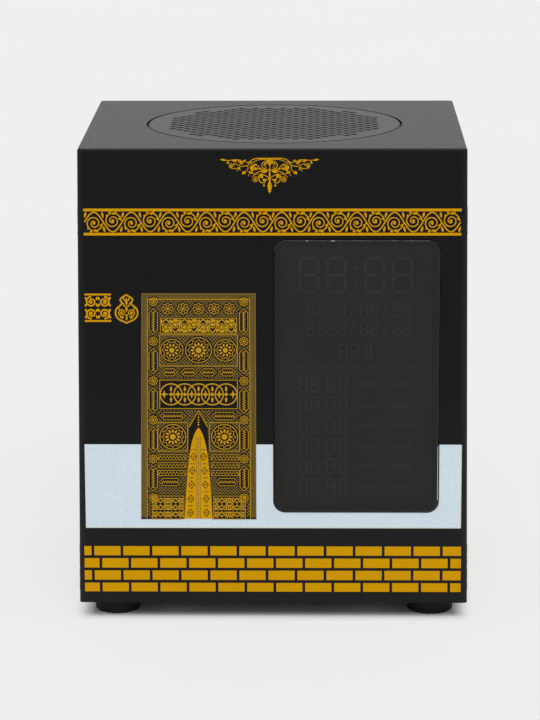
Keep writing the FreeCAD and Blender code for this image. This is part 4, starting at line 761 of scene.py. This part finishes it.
def pear(drawn):
    """A lamp-shaped medallion with curls inside."""
    middle = -41.6

    def sprig(u, v, turn, length, width):
        drawn.plate(leaf(middle + u, high(v), pi / 2 - turn, length, width))

    right = smooth([(middle + u, high(v)) for u, v in PEAR], 4)
    drawn.line(right + mirrored(right, middle)[1:-1], 0.44, closed=True)
    for side in (-1, 1):
        for u, v, angle in PEAR_BUDS:
            sprig(side * u, v, side * (pi / 2 - angle), 0.8, 0.34)
        heart = (middle + side * 1.25, high(86.5))
        drawn.line(spiral(*heart, 1.15, 0.25, -pi / 2, 1.6, side), tapered(0.3, 0.24))
        drawn.dot(*heart, 0.26, 8)
        for u, v, turn, *size in PEAR_LEAVES:
            sprig(side * u, v, side * turn, *size)
    sprig(0.0, 88.6, 0.0, 2.4, 0.7)
    sprig(0.0, 88.4, pi, 1.7, 0.7)
    sprig(0.0, 84.2, 0.0, 1.5, 0.6)


BRICK_PITCH, BRICK_LONG = 8.431, 7.62
BRICK_ROWS = ((14.35, 17.1), (10.62, 13.44), (6.93, 9.74), (3.38, 6.0))
BRICK_LEFT, BRICK_RIGHT = -54.85, 54.5
BRICK_STARTS = (-60.4, -58.14)


def bricks(drawn, left, right, shift=0.0):
    """Four courses of bricks, each second one shifted along."""
    for row, (bottom, top) in enumerate(BRICK_ROWS):
        start = BRICK_STARTS[row % 2] + shift
        while start < right:
            a, b = max(start, left), min(start + BRICK_LONG, right)
            if b - a > 0.4:
                drawn.box(a, high(bottom), b, high(top))
            start += BRICK_PITCH


PALE_BOTTOM, PALE_TOP = high(22.78), high(47.66)
PALE_HALF = 54.28


def window_notch(gap):
    """The lower half of the window's outline, from its left side round to its right side."""
    left, right, bottom = WINDOW_LOW.x - gap, WINDOW_HIGH.x + gap, WINDOW_LOW.z - gap
    radius = WINDOW_RADIUS + gap
    path = [(left, PALE_TOP)]
    for middle, first in ((left + radius, pi), (right - radius, 1.5 * pi)):
        path += [around(middle, bottom + radius, radius, first + k * pi / 16) for k in range(9)]
    return path + [(right, PALE_TOP)]


def window_edge_highlights(highlight, chips_and_highlight):
    """Painted highlights on the bevel: a bright line along the top, bright dots down the right side, a painted
    shine in the lower right corner and a highlight strip up the right edge. Also a few pale chips along the top.
    """
    low, top = WINDOW_LOW, WINDOW_HIGH
    step = 0.9
    u = low.x + WINDOW_RADIUS - 0.4
    while u < top.x - WINDOW_RADIUS:
        share = (u - low.x) / (top.x - low.x)
        highlight.box(u, top.z - 0.14 - 0.08 * share, u + step, top.z - 0.04)
        u += step
    # A few pale chips on the top edge.
    for u, wide in ((9.7, 0.35), (16.8, 0.5), (17.6, 0.2)):
        chips_and_highlight.box(u, top.z - 0.25, u + wide, top.z - 0.05)
    for v, tall in ((107.2, 0.5), (104.9, 0.25), (98.6, 0.4), (61.4, 0.3)):
        highlight.box(top.x - 0.22, v, top.x - 0.06, v + tall)
    corner = (top.x - WINDOW_RADIUS, low.z + WINDOW_RADIUS)
    for k in range(10):
        start, end = (pi / 2 * (k + part) / 10 - pi / 2 for part in (0, 1))
        edge = ((3.07, start), (3.07, end), (2.85, end), (2.85, start))
        highlight.plate([around(*corner, radius, angle) for radius, angle in edge])
    # A painted highlight strip up the right edge, above the corner.
    chips_and_highlight.box(top.x - 0.2, low.z + 3.6, top.x - 0.04, low.z + 19.6)


def pale_panel(drawn, edge):
    """The pale strip behind the door and the window."""
    left = [(-PALE_HALF, PALE_TOP), (-PALE_HALF, PALE_BOTTOM)]
    drawn.plate(left + mirrored(left, 0.0) + window_notch(0.35)[::-1])
    edge.box(-PALE_HALF, PALE_BOTTOM - 0.18, PALE_HALF, PALE_BOTTOM + 0.06)
    edge.box(PALE_HALF - 0.06, PALE_BOTTOM, PALE_HALF + 0.12, PALE_TOP)


DOOR_LEFT, DOOR_RIGHT = -37.3, -4.8
DOOR_HALF = (DOOR_RIGHT - DOOR_LEFT) / 2
DOOR_BOTTOM, DOOR_TALL = high(25.45), 66.68
DOOR_SPREAD = 0.00043


def on_door(u, v, lift):
    """The front, from the middle of the door's foot. It grows a little wider to the left as it goes down."""
    return on_front(DOOR_RIGHT - (DOOR_HALF - u) * (1 + DOOR_SPREAD * (DOOR_TALL - v)), DOOR_BOTTOM + v, lift)


def door(gold, dim, ground, patch):
    """A tall ornamental panel: star rows and pointed cartouches, with room for the arch."""
    ground.box(-DOOR_HALF, 0.0, DOOR_HALF, DOOR_TALL)
    door_border(gold, dim)
    net(dim, 1.75 - DOOR_HALF, DOOR_HALF - 1.75, 0.6, DOOR_TALL - 1.75, 0.98, 0.19)
    door_sides(gold, patch)
    door_upper(gold, patch)
    door_lower(gold, patch)


def door_border(gold, dim):
    """A toothed border between fine lines on three sides."""
    for inset, width, drawn in ((0.0, 0.26, dim), (1.2, 0.22, dim), (1.58, 0.2, gold)):
        side, top = DOOR_HALF - inset, DOOR_TALL - inset
        drawn.box(-side, 0.0, width - side, top)
        drawn.box(side - width, 0.0, side, top)
        drawn.box(-side, top - width, side, top)
    for inset in (0.5, 0.92):
        side, top = DOOR_HALF - inset, DOOR_TALL - inset
        for start, end in (((-side, 0), (-side, top)), ((side, 0), (side, top)), ((-side, top), (side, top))):
            zigzag(dim, start, end, 0.8, 0.16, 0.24)


def door_sides(gold, patch):
    """Columns of pointed cartouches with small stars between them."""
    for u in (-12.85, 12.85):
        for k in range(6):
            v = DOOR_TALL - 8.2 - 11.6 * k
            if k < 5:
                long_lozenge(gold, patch, u, v, 1.2, 3.75, 0.2)
            eight_star(gold, patch, u, v + 5.8, 1.45)


def door_upper(gold, patch):
    """Rows of stars and a scroll above the middle."""
    top = DOOR_TALL - 2.4
    for k in range(5):
        eight_star(gold, patch, (k - 2) * 4.4, top - 2.1, 1.85)
    patch.box(-11.1, top - 9.4, 11.1, top - 4.7)
    gold.frame(-10.9, top - 9.3, 10.9, top - 4.8, 0.16)
    vine(gold, -10.6, 10.6, top - 9.0, top - 5.1, 8, 0.26, 1.6)
    for k, radius in ((-1, 3.3), (0, 3.8), (1, 3.3)):
        rosette(gold, patch, k * 7.6, top - 14.2, radius, 10 if k else 12, 0.2)
    gold.frame(-11.1, top - 18.9, 11.1, top - 9.6, 0.16)
    for k in range(4):
        long_lozenge(gold, patch, (k - 1.5) * 5.5, top - 20.7, 2.3, 1.05)


def door_lower(gold, patch):
    """A dark field of linked rings, twin flowers, toothed bars and scroll corners."""
    top, pitch = 41.4, 3.9
    patch.box(-11.4, top - 8.9, 11.4, top + 0.3)
    gold.frame(-11.1, top - 8.6, 11.1, top, 0.18)
    for k in range(5):
        gold.ring((k - 2) * pitch, top - 4.3, 3.1, 14, 0.34)
    for k in range(6):
        gold.plate(star((k - 2.5) * pitch, top - 4.3, 1.25, 0.42, 4))
    for k in range(5):
        gold.dot((k - 2) * pitch, top - 4.3, 0.5)
        for side in (-1, 1):
            gold.plate(leaf((k - 2) * pitch, top - 4.3 + side * 0.8, side * pi / 2, 1.7, 0.7))
    for side in (-1, 1):
        u = side * 7.3
        long_lozenge(gold, patch, u, top - 10.75, 3.6, 1.1)
        rosette(gold, patch, u, top - 16.9, 3.8, 12, 0.24)
        gold.frame(u - 4.3, top - 21.2, u + 4.3, top - 12.6, 0.16)
        u = side * 7.5
        for row in range(3):
            v = top - 23.0 - 2.35 * row
            patch.box(u - 4.2, v - 1.1, u + 4.2, v + 1.1)
            gold.frame(u - 4.0, v - 0.85, u + 4.0, v + 0.85, 0.15)
            zigzag(gold, (u - 3.7, v), (u + 3.7, v), 0.95, 0.42, 0.26)
        long_lozenge(gold, patch, side * 8.0, top - 30.4, 3.2, 1.1)
        left, right = sorted((side * 4.1, side * 13.2))
        patch.box(left - 0.3, 0.0, right + 0.3, 7.2)
        gold.frame(left, -0.2, right, 6.9, 0.18)
        scroll_field(gold, left + 0.3, right - 0.3, 0.3, 6.5, 4, 3, 0.3, 1.5)
    for left, right in ((-DOOR_HALF, -4.0), (3.9, DOOR_HALF)):
        patch.box(left, -0.15, right, 0.35)


ARCH = ((0, 27.3), (0.75, 26.2), (1.5, 24.3), (2.15, 21.5), (2.7, 17.5), (3.2, 12), (3.6, 6), (3.95, 0))
ARCH_MIDDLE = -0.05


def arch(gold, patch):
    """The solid gold arch, with a dark tip above it and a patterned strip down its middle."""
    corners = ((-2.6, 27.5), (0.0, 32.2), (2.6, 27.5), (2.9, 20.0), (-2.9, 20.0))
    hood = [(ARCH_MIDDLE + u, v) for u, v in corners]
    patch.plate(hood)
    gold.line(hood[:3], 0.26)
    for k in range(5):
        gold.plate(star(ARCH_MIDDLE, 28.1 + 0.75 * k, 0.42 - 0.05 * k, 0.16, 4))
    right = smooth([(ARCH_MIDDLE + u, v) for u, v in ARCH], 4)
    gold.plate(right + mirrored(right, ARCH_MIDDLE)[:-1])


def arch_marks(dim, black):
    """The darker strip, lozenges and small bars on the arch."""
    for left in (-0.62, 0.47):
        dim.box(ARCH_MIDDLE + left, 0.0, ARCH_MIDDLE + left + 0.15, 24.5)
    for k in range(30):
        dim.plate(star(ARCH_MIDDLE, 0.5 + 0.8 * k, 0.36, 0.14, 4))
    for v, away in ((1.8, 2.25), (6.0, 2.15), (10.2, 1.95), (14.4, 1.7), (18.6, 1.4)):
        for side in (-1, 1):
            u = ARCH_MIDDLE + side * away
            black.line([(u, v + 1.15), (u + 0.8, v), (u, v - 1.15), (u - 0.8, v)], 0.3, closed=True)
            black.dot(u, v, 0.24, 6)
            dim.line([(u - 0.7, v + 2.1), (u + 0.7, v + 2.1)], 0.3)


# Small symbols by the keys at the back

def back_marks(drawn):
    """Plain shapes that say what each key and socket does."""
    level = 32.6
    for u, way in ((14.55, -1), (13.25, -1), (23.9, -1)):
        triangle(drawn, u, level, way)
    for u in (22.5, 21.7):
        drawn.box(u - 0.2, level - 0.95, u + 0.2, level + 0.95)
    for u in (31.45, 32.75):
        triangle(drawn, u, level, 1)
    drawn.ring(41.0, level, 0.85, 9, 0.26)
    drawn.dot(41.0, level, 0.3, 8)
    drawn.ring(1.0, level, 0.9, 9, 0.24)
    drawn.box(0.87, level + 0.1, 1.13, level + 1.35)
    drawn.line([(-14.2, level), (-11.6, level)], 0.24)
    drawn.plate([(-11.6, level - 0.4), (-10.9, level), (-11.6, level + 0.4)])
    drawn.dot(-14.2, level, 0.42, 10)
    card = ((-29.0, -0.9), (-29.0, 0.9), (-27.4, 0.9), (-26.9, 0.4), (-26.9, -0.9))
    drawn.line([(u, level + v) for u, v in card], 0.22, closed=True)
    drawn.line(star(-42.0, level - 0.2, 1.0, 1.0, 9)[:10], 0.22)
    for u in (-43.0, -41.0):
        drawn.box(u - 0.28, level - 0.95, u + 0.28, level - 0.1)


def triangle(drawn, u, v, way):
    drawn.plate([(u - way * 0.8, v - 1.0), (u + way * 0.8, v), (u - way * 0.8, v + 1.0)])


# The dim figures behind the window

WINDOW_MIDDLE = (24.0, 72.6)
# A row's height, its figures' height and stroke, and for each mark its place and its width.
# The width 0 stands for a colon, and -1 for a slash.
DATE_ROW = tuple((u, 2.3) for u in (-13.2, -10.2, -7.3, -4.4, 2.1, 5.0, 11.5, 14.4)) + ((-1.2, -1), (8.2, -1))
TIME_ROW = ((-15.3, 2.6), (-11.9, 2.6), (-9.6, 0), (-7.25, 2.6), (-3.8, 2.6))
TIME_LEVELS = tuple(-2.8 - 6.07 * k for k in range(6))
FIGURES = (
    (29.4, 10.7, 0.85, ((-13.6, 6), (-5.8, 6), (-0.35, 0), (5.1, 6), (13, 6))),
    (19.1, 4.2, 0.4, DATE_ROW),
    (13.7, 4.2, 0.4, DATE_ROW),
    (7.0, 4.9, 0.42, ((-3.9, 2.7), (-0.5, 2.7), (3.2, 2.3))),
) + tuple((level, 4.9, 0.42, TIME_ROW) for level in TIME_LEVELS)


def figure(drawn, u, v, wide, tall, stroke):
    """Seven bars of a figure."""
    gap, tip = stroke * 0.3, stroke / 2
    half, quarter = wide / 2 - stroke / 2, tall / 2 - stroke / 2

    def bar(start, end):
        length, *way = direction(start, end)
        far = length - gap
        path = ((gap, 0), (gap + tip, tip), (far - tip, tip), (far, 0), (far - tip, -tip), (gap + tip, -tip))
        drawn.plate([aside(u + start[0], v + start[1], *way, along, side) for along, side in path])

    for level in (-quarter, 0.0, quarter):
        bar((-half, level), (half, level))
    for side in (-half, half):
        bar((side, -quarter), (side, 0.0))
        bar((side, 0.0), (side, quarter))


def display_figures(drawn, labels):
    """Every unlit figure, colon, slash and label bar of the display."""
    middle, centre = WINDOW_MIDDLE
    for level, tall, stroke, marks in FIGURES:
        v = centre + level
        for place, wide in marks:
            u = middle + place
            if wide > 0:
                figure(drawn, u, v, wide, tall, stroke)
            elif wide == 0:
                for side in (-1, 1):
                    drawn.dot(u, v + side * tall * 0.2, stroke * 0.6)
            else:
                drawn.line([(u - 0.7, v - tall * 0.45), (u + 0.7, v + tall * 0.45)], stroke * 0.8)
    for k in range(7):
        u = middle - 16.6 + 5.07 * k
        labels.box(u, centre + 2.0, u + 2.8, centre + 3.0)
    for level in TIME_LEVELS:
        for left, right in ((0.2, 6.0), (9.8, 16.0)):
            labels.box(middle + left, centre + level - 0.8, middle + right, centre + level + 0.8)


def foot_rings(material):
    """The scalloped lower edge of each rubber foot."""
    lobes, steps = 22, 6
    profile = ((5.75, 0.05), (6.32, 0.12), (6.62, 0.45), (6.66, 1.0), (6.35, 1.45), (5.9, 1.2))
    size, count = len(profile), lobes * steps
    faces = []
    for k in range(count):
        here, there = size * k, size * ((k + 1) % count)
        for j in range(size):
            other = (j + 1) % size
            faces.append((here + j, there + j, there + other, here + other))
    for name in ("front_left", "front_right", "rear_left", "rear_right"):
        low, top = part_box("foot_" + name)
        middle = (low + top) / 2 / MM
        points = []
        for k in range(count):
            angle = 2 * pi * k / count
            wave = 0.5 + 0.5 * cos(lobes * angle)
            for radius, height in profile:
                reach = radius - (0.28 * (1 - wave) if radius > 6 else 0.0)
                points.append((*around(middle.x, middle.y, reach, angle), height))
        made = closed_piece("foot_ring_" + name, points, faces, material)
        made.data.polygons.foreach_set("use_smooth", [True] * len(faces))


def print_everything():
    """Draws every print on its face."""
    gold_ink = ink("gold_ink", (0.590, 0.300, 0.001), (0.530, 0.265, 0.0005), 0.03)
    door_ink = ink("door_gold_ink", (0.540, 0.298, 0.012), (0.465, 0.255, 0.009), 0.04)
    dim_ink = ink("dim_gold_ink", (0.25, 0.165, 0.035), (0.16, 0.105, 0.02), 0.08)
    pale_ink = ink("pale_ink", (0.622, 0.706, 0.770), (0.537, 0.632, 0.701), 0.12, (0.45, 0.55), 0.7)
    cream_ink = ink("cream_ink", (0.62, 0.58, 0.46), (0.56, 0.52, 0.4), 0.2, (0.42, 0.5))
    black_ink = ink("black_ink", (0.0045, 0.004, 0.003), (0.007, 0.006, 0.005), 0.11, (0.42, 0.5))
    grey_ink = ink("grey_ink", grey(0.42), grey(0.36), 0.3)
    # Painted highlight colour for the window's bevel.
    edge_highlight_ink = ink("edge_highlight_ink", grey(0.12), (0.035, 0.035, 0.037), 0.2, (0.4, 0.5), 2.0)
    figure_film = figure_tint("figure_film", (0.80, 0.26, 0.24), (0.42, 0.45, 0.56))
    label_film = figure_tint("label_film", (0.30, 0.12, 0.12), (0.18, 0.20, 0.25))

    gold = Print(on_front, GOLD_LIFT)
    crest(gold)
    band(gold, -53.46, 53.5, 20)
    small_panel(gold)
    pear(gold)
    bricks(gold, BRICK_LEFT, BRICK_RIGHT)
    gold.finish("front_gold_print", gold_ink)

    pale, edge = Print(on_front, PALE_LIFT), Print(on_front, PALE_LIFT + 0.025)
    pale_panel(pale, edge)
    pale.finish("front_pale_print", pale_ink)
    edge.finish("front_pale_edge", cream_ink)

    lifts = (GOLD_LIFT, NET_LIFT, GROUND_LIFT, PATCH_LIFT, GOLD_LIFT + 0.015)
    bright, dim, ground, patch, solid = (Print(on_door, lift) for lift in lifts)
    marks, black_marks = Print(on_door, GOLD_LIFT + 0.03), Print(on_door, GOLD_LIFT + 0.03)
    door(bright, dim, ground, patch)
    arch(solid, patch)
    arch_marks(marks, black_marks)
    solid.finish("door_arch_print", gold_ink)
    black_marks.finish("door_lozenge_print", black_ink)
    bright.finish("door_gold_print", door_ink)
    dim.finish("door_net_print", dim_ink)
    ground.finish("door_ground_print", black_ink)
    patch.finish("door_dark_print", black_ink)
    marks.finish("door_mark_print", dim_ink)

    for name, place in (("left", on_left), ("right", on_right)):
        side = Print(place, GOLD_LIFT)
        band(side, -45.6, 45.6, 17)
        bricks(side, -45.6, 45.6, 0.6)
        side.finish(name + "_gold_print", gold_ink)
        strip = Print(place, PALE_LIFT)
        strip.box(-45.4, PALE_BOTTOM, 45.4, PALE_TOP)
        strip.finish(name + "_pale_print", pale_ink)

    # Painted highlights and a few chips on the window's bevel.
    highlight, chips_and_highlight = Print(on_window_edge, 0.02), Print(on_window_edge, 0.035)
    window_edge_highlights(highlight, chips_and_highlight)
    highlight.finish("window_edge_highlight", edge_highlight_ink)
    chips_and_highlight.finish("window_edge_chips_and_highlight", cream_ink)

    symbols = Print(on_back, GOLD_LIFT)
    back_marks(symbols)
    symbols.finish("back_symbols", grey_ink)

    figures, labels = Print(inside_window, 0.05), Print(inside_window, 0.05)
    display_figures(figures, labels)
    figures.finish("display_figures", figure_film)
    labels.finish("display_labels", label_film)


# The floor, the light and the camera

BACKGROUND = 0.863
FLOOR_REACH = 9.0


def pale_backdrop(made, output, own_shader, plain_kind, cover=1.0):
    """Camera, glossy and transmission rays see the plain background, over the share that cover gives."""
    path = made.node("LightPath")
    seen = made.maths("MAXIMUM", path.outputs["Is Camera Ray"], path.outputs["Is Glossy Ray"])
    seen = made.maths("MAXIMUM", seen, path.outputs["Is Transmission Ray"])
    plain = made.node(plain_kind)
    plain.inputs["Color"].default_value = (*grey(BACKGROUND), 1.0)
    plain.inputs["Strength"].default_value = 1.0
    mixed = made.node("MixShader")
    for k, source in enumerate((made.maths("MULTIPLY", seen, cover), own_shader, plain.outputs[0])):
        made.link(source, mixed.inputs[k])
    made.link(mixed.outputs[0], made.tree.nodes[output].inputs["Surface"])


def floor_cover(made):
    """Full shade below the object, and a fainter one around it."""
    depths = []
    for axis, half in (("X", HALF_BOTTOM), ("Y", BACK)):
        away = made.maths("ABSOLUTE", made.part(made.place, axis))
        depths.append(made.maths("SUBTRACT", half * MM, away))
    return made.spread(made.maths("MINIMUM", *depths), 0.8, 0.0, -2.0 * MM, 4.0 * MM)


def make_floor():
    mesh = bpy.data.meshes.new("studio_floor")
    corners = [(FLOOR_REACH * x, FLOOR_REACH * y, 0.0) for x, y in ((-1, -1), (1, -1), (1, 1), (-1, 1))]
    mesh.from_pydata(corners, [], [(0, 1, 2, 3)])
    made = Shader("studio_floor")
    colour = made.mix(made.spread(made.noise(160.0, 1.0)), grey(0.84), grey(0.855))
    mesh.materials.append(made.finish(colour, None, shine=0.1, Roughness=0.9))
    pale_backdrop(made, "Material Output", made.surface.outputs["BSDF"], "Emission", floor_cover(made))
    place_object("studio_floor", mesh)


def make_world(strength):
    world = bpy.data.worlds.new("studio_world")
    bpy.context.scene.world = world
    world.use_nodes = True
    background = world.node_tree.nodes["Background"]
    background.inputs["Color"].default_value = (1.0, 1.0, 1.0, 1.0)
    background.inputs["Strength"].default_value = strength
    pale_backdrop(Nodes(world.node_tree), "World Output", background.outputs["Background"], "Background")


def make_sun(name, strength, direction, softness):
    lamp = bpy.data.lights.new(name, "SUN")
    lamp.energy = strength
    lamp.angle = radians(softness)
    place_object(name, lamp).rotation_euler = Vector(direction).to_track_quat("-Z", "Y").to_euler()


CAMERA_PLACE = (12.68, -870.80, 271.17)
CAMERA_PITCH, CAMERA_YAW, CAMERA_ROLL = 0.2308292, -0.0163070, -0.0029363
FOCAL_PIXELS, LONG_SIDE, SENSOR = 2957.69, 720.0, 36.0


def make_camera():
    """The camera that was solved from the box's edges in the photograph."""
    lens = bpy.data.cameras.new("photo_camera")
    lens.sensor_fit = "AUTO"
    lens.sensor_width = SENSOR
    lens.lens = FOCAL_PIXELS * SENSOR / LONG_SIDE
    lens.clip_start, lens.clip_end = 0.05, 40.0
    cos_pitch = cos(CAMERA_PITCH)
    cos_yaw, sin_yaw = cos(CAMERA_YAW), sin(CAMERA_YAW)
    cos_roll, sin_roll = cos(CAMERA_ROLL), sin(CAMERA_ROLL)
    forward = Vector((sin_yaw * cos_pitch, cos_yaw * cos_pitch, -sin(CAMERA_PITCH)))
    right = Vector((cos_yaw, -sin_yaw, 0.0))
    up = right.cross(forward)
    axes = (cos_roll * right + sin_roll * up, cos_roll * up - sin_roll * right, -forward)
    held = place_object("photo_camera", lens)
    held.matrix_world = Matrix.Translation(Vector(CAMERA_PLACE) * MM) @ Matrix(axes).transposed().to_4x4()
    bpy.context.scene.camera = held


make_camera()
make_floor()
make_world(0.64)
make_sun("front_sun", 1.55, (-0.08, 0.64, -0.76), 32.0)
bpy.context.scene.view_settings.view_transform = "Standard"
finishes = dress_nodes()
print_everything()
foot_rings(finishes["foot_rubber"])
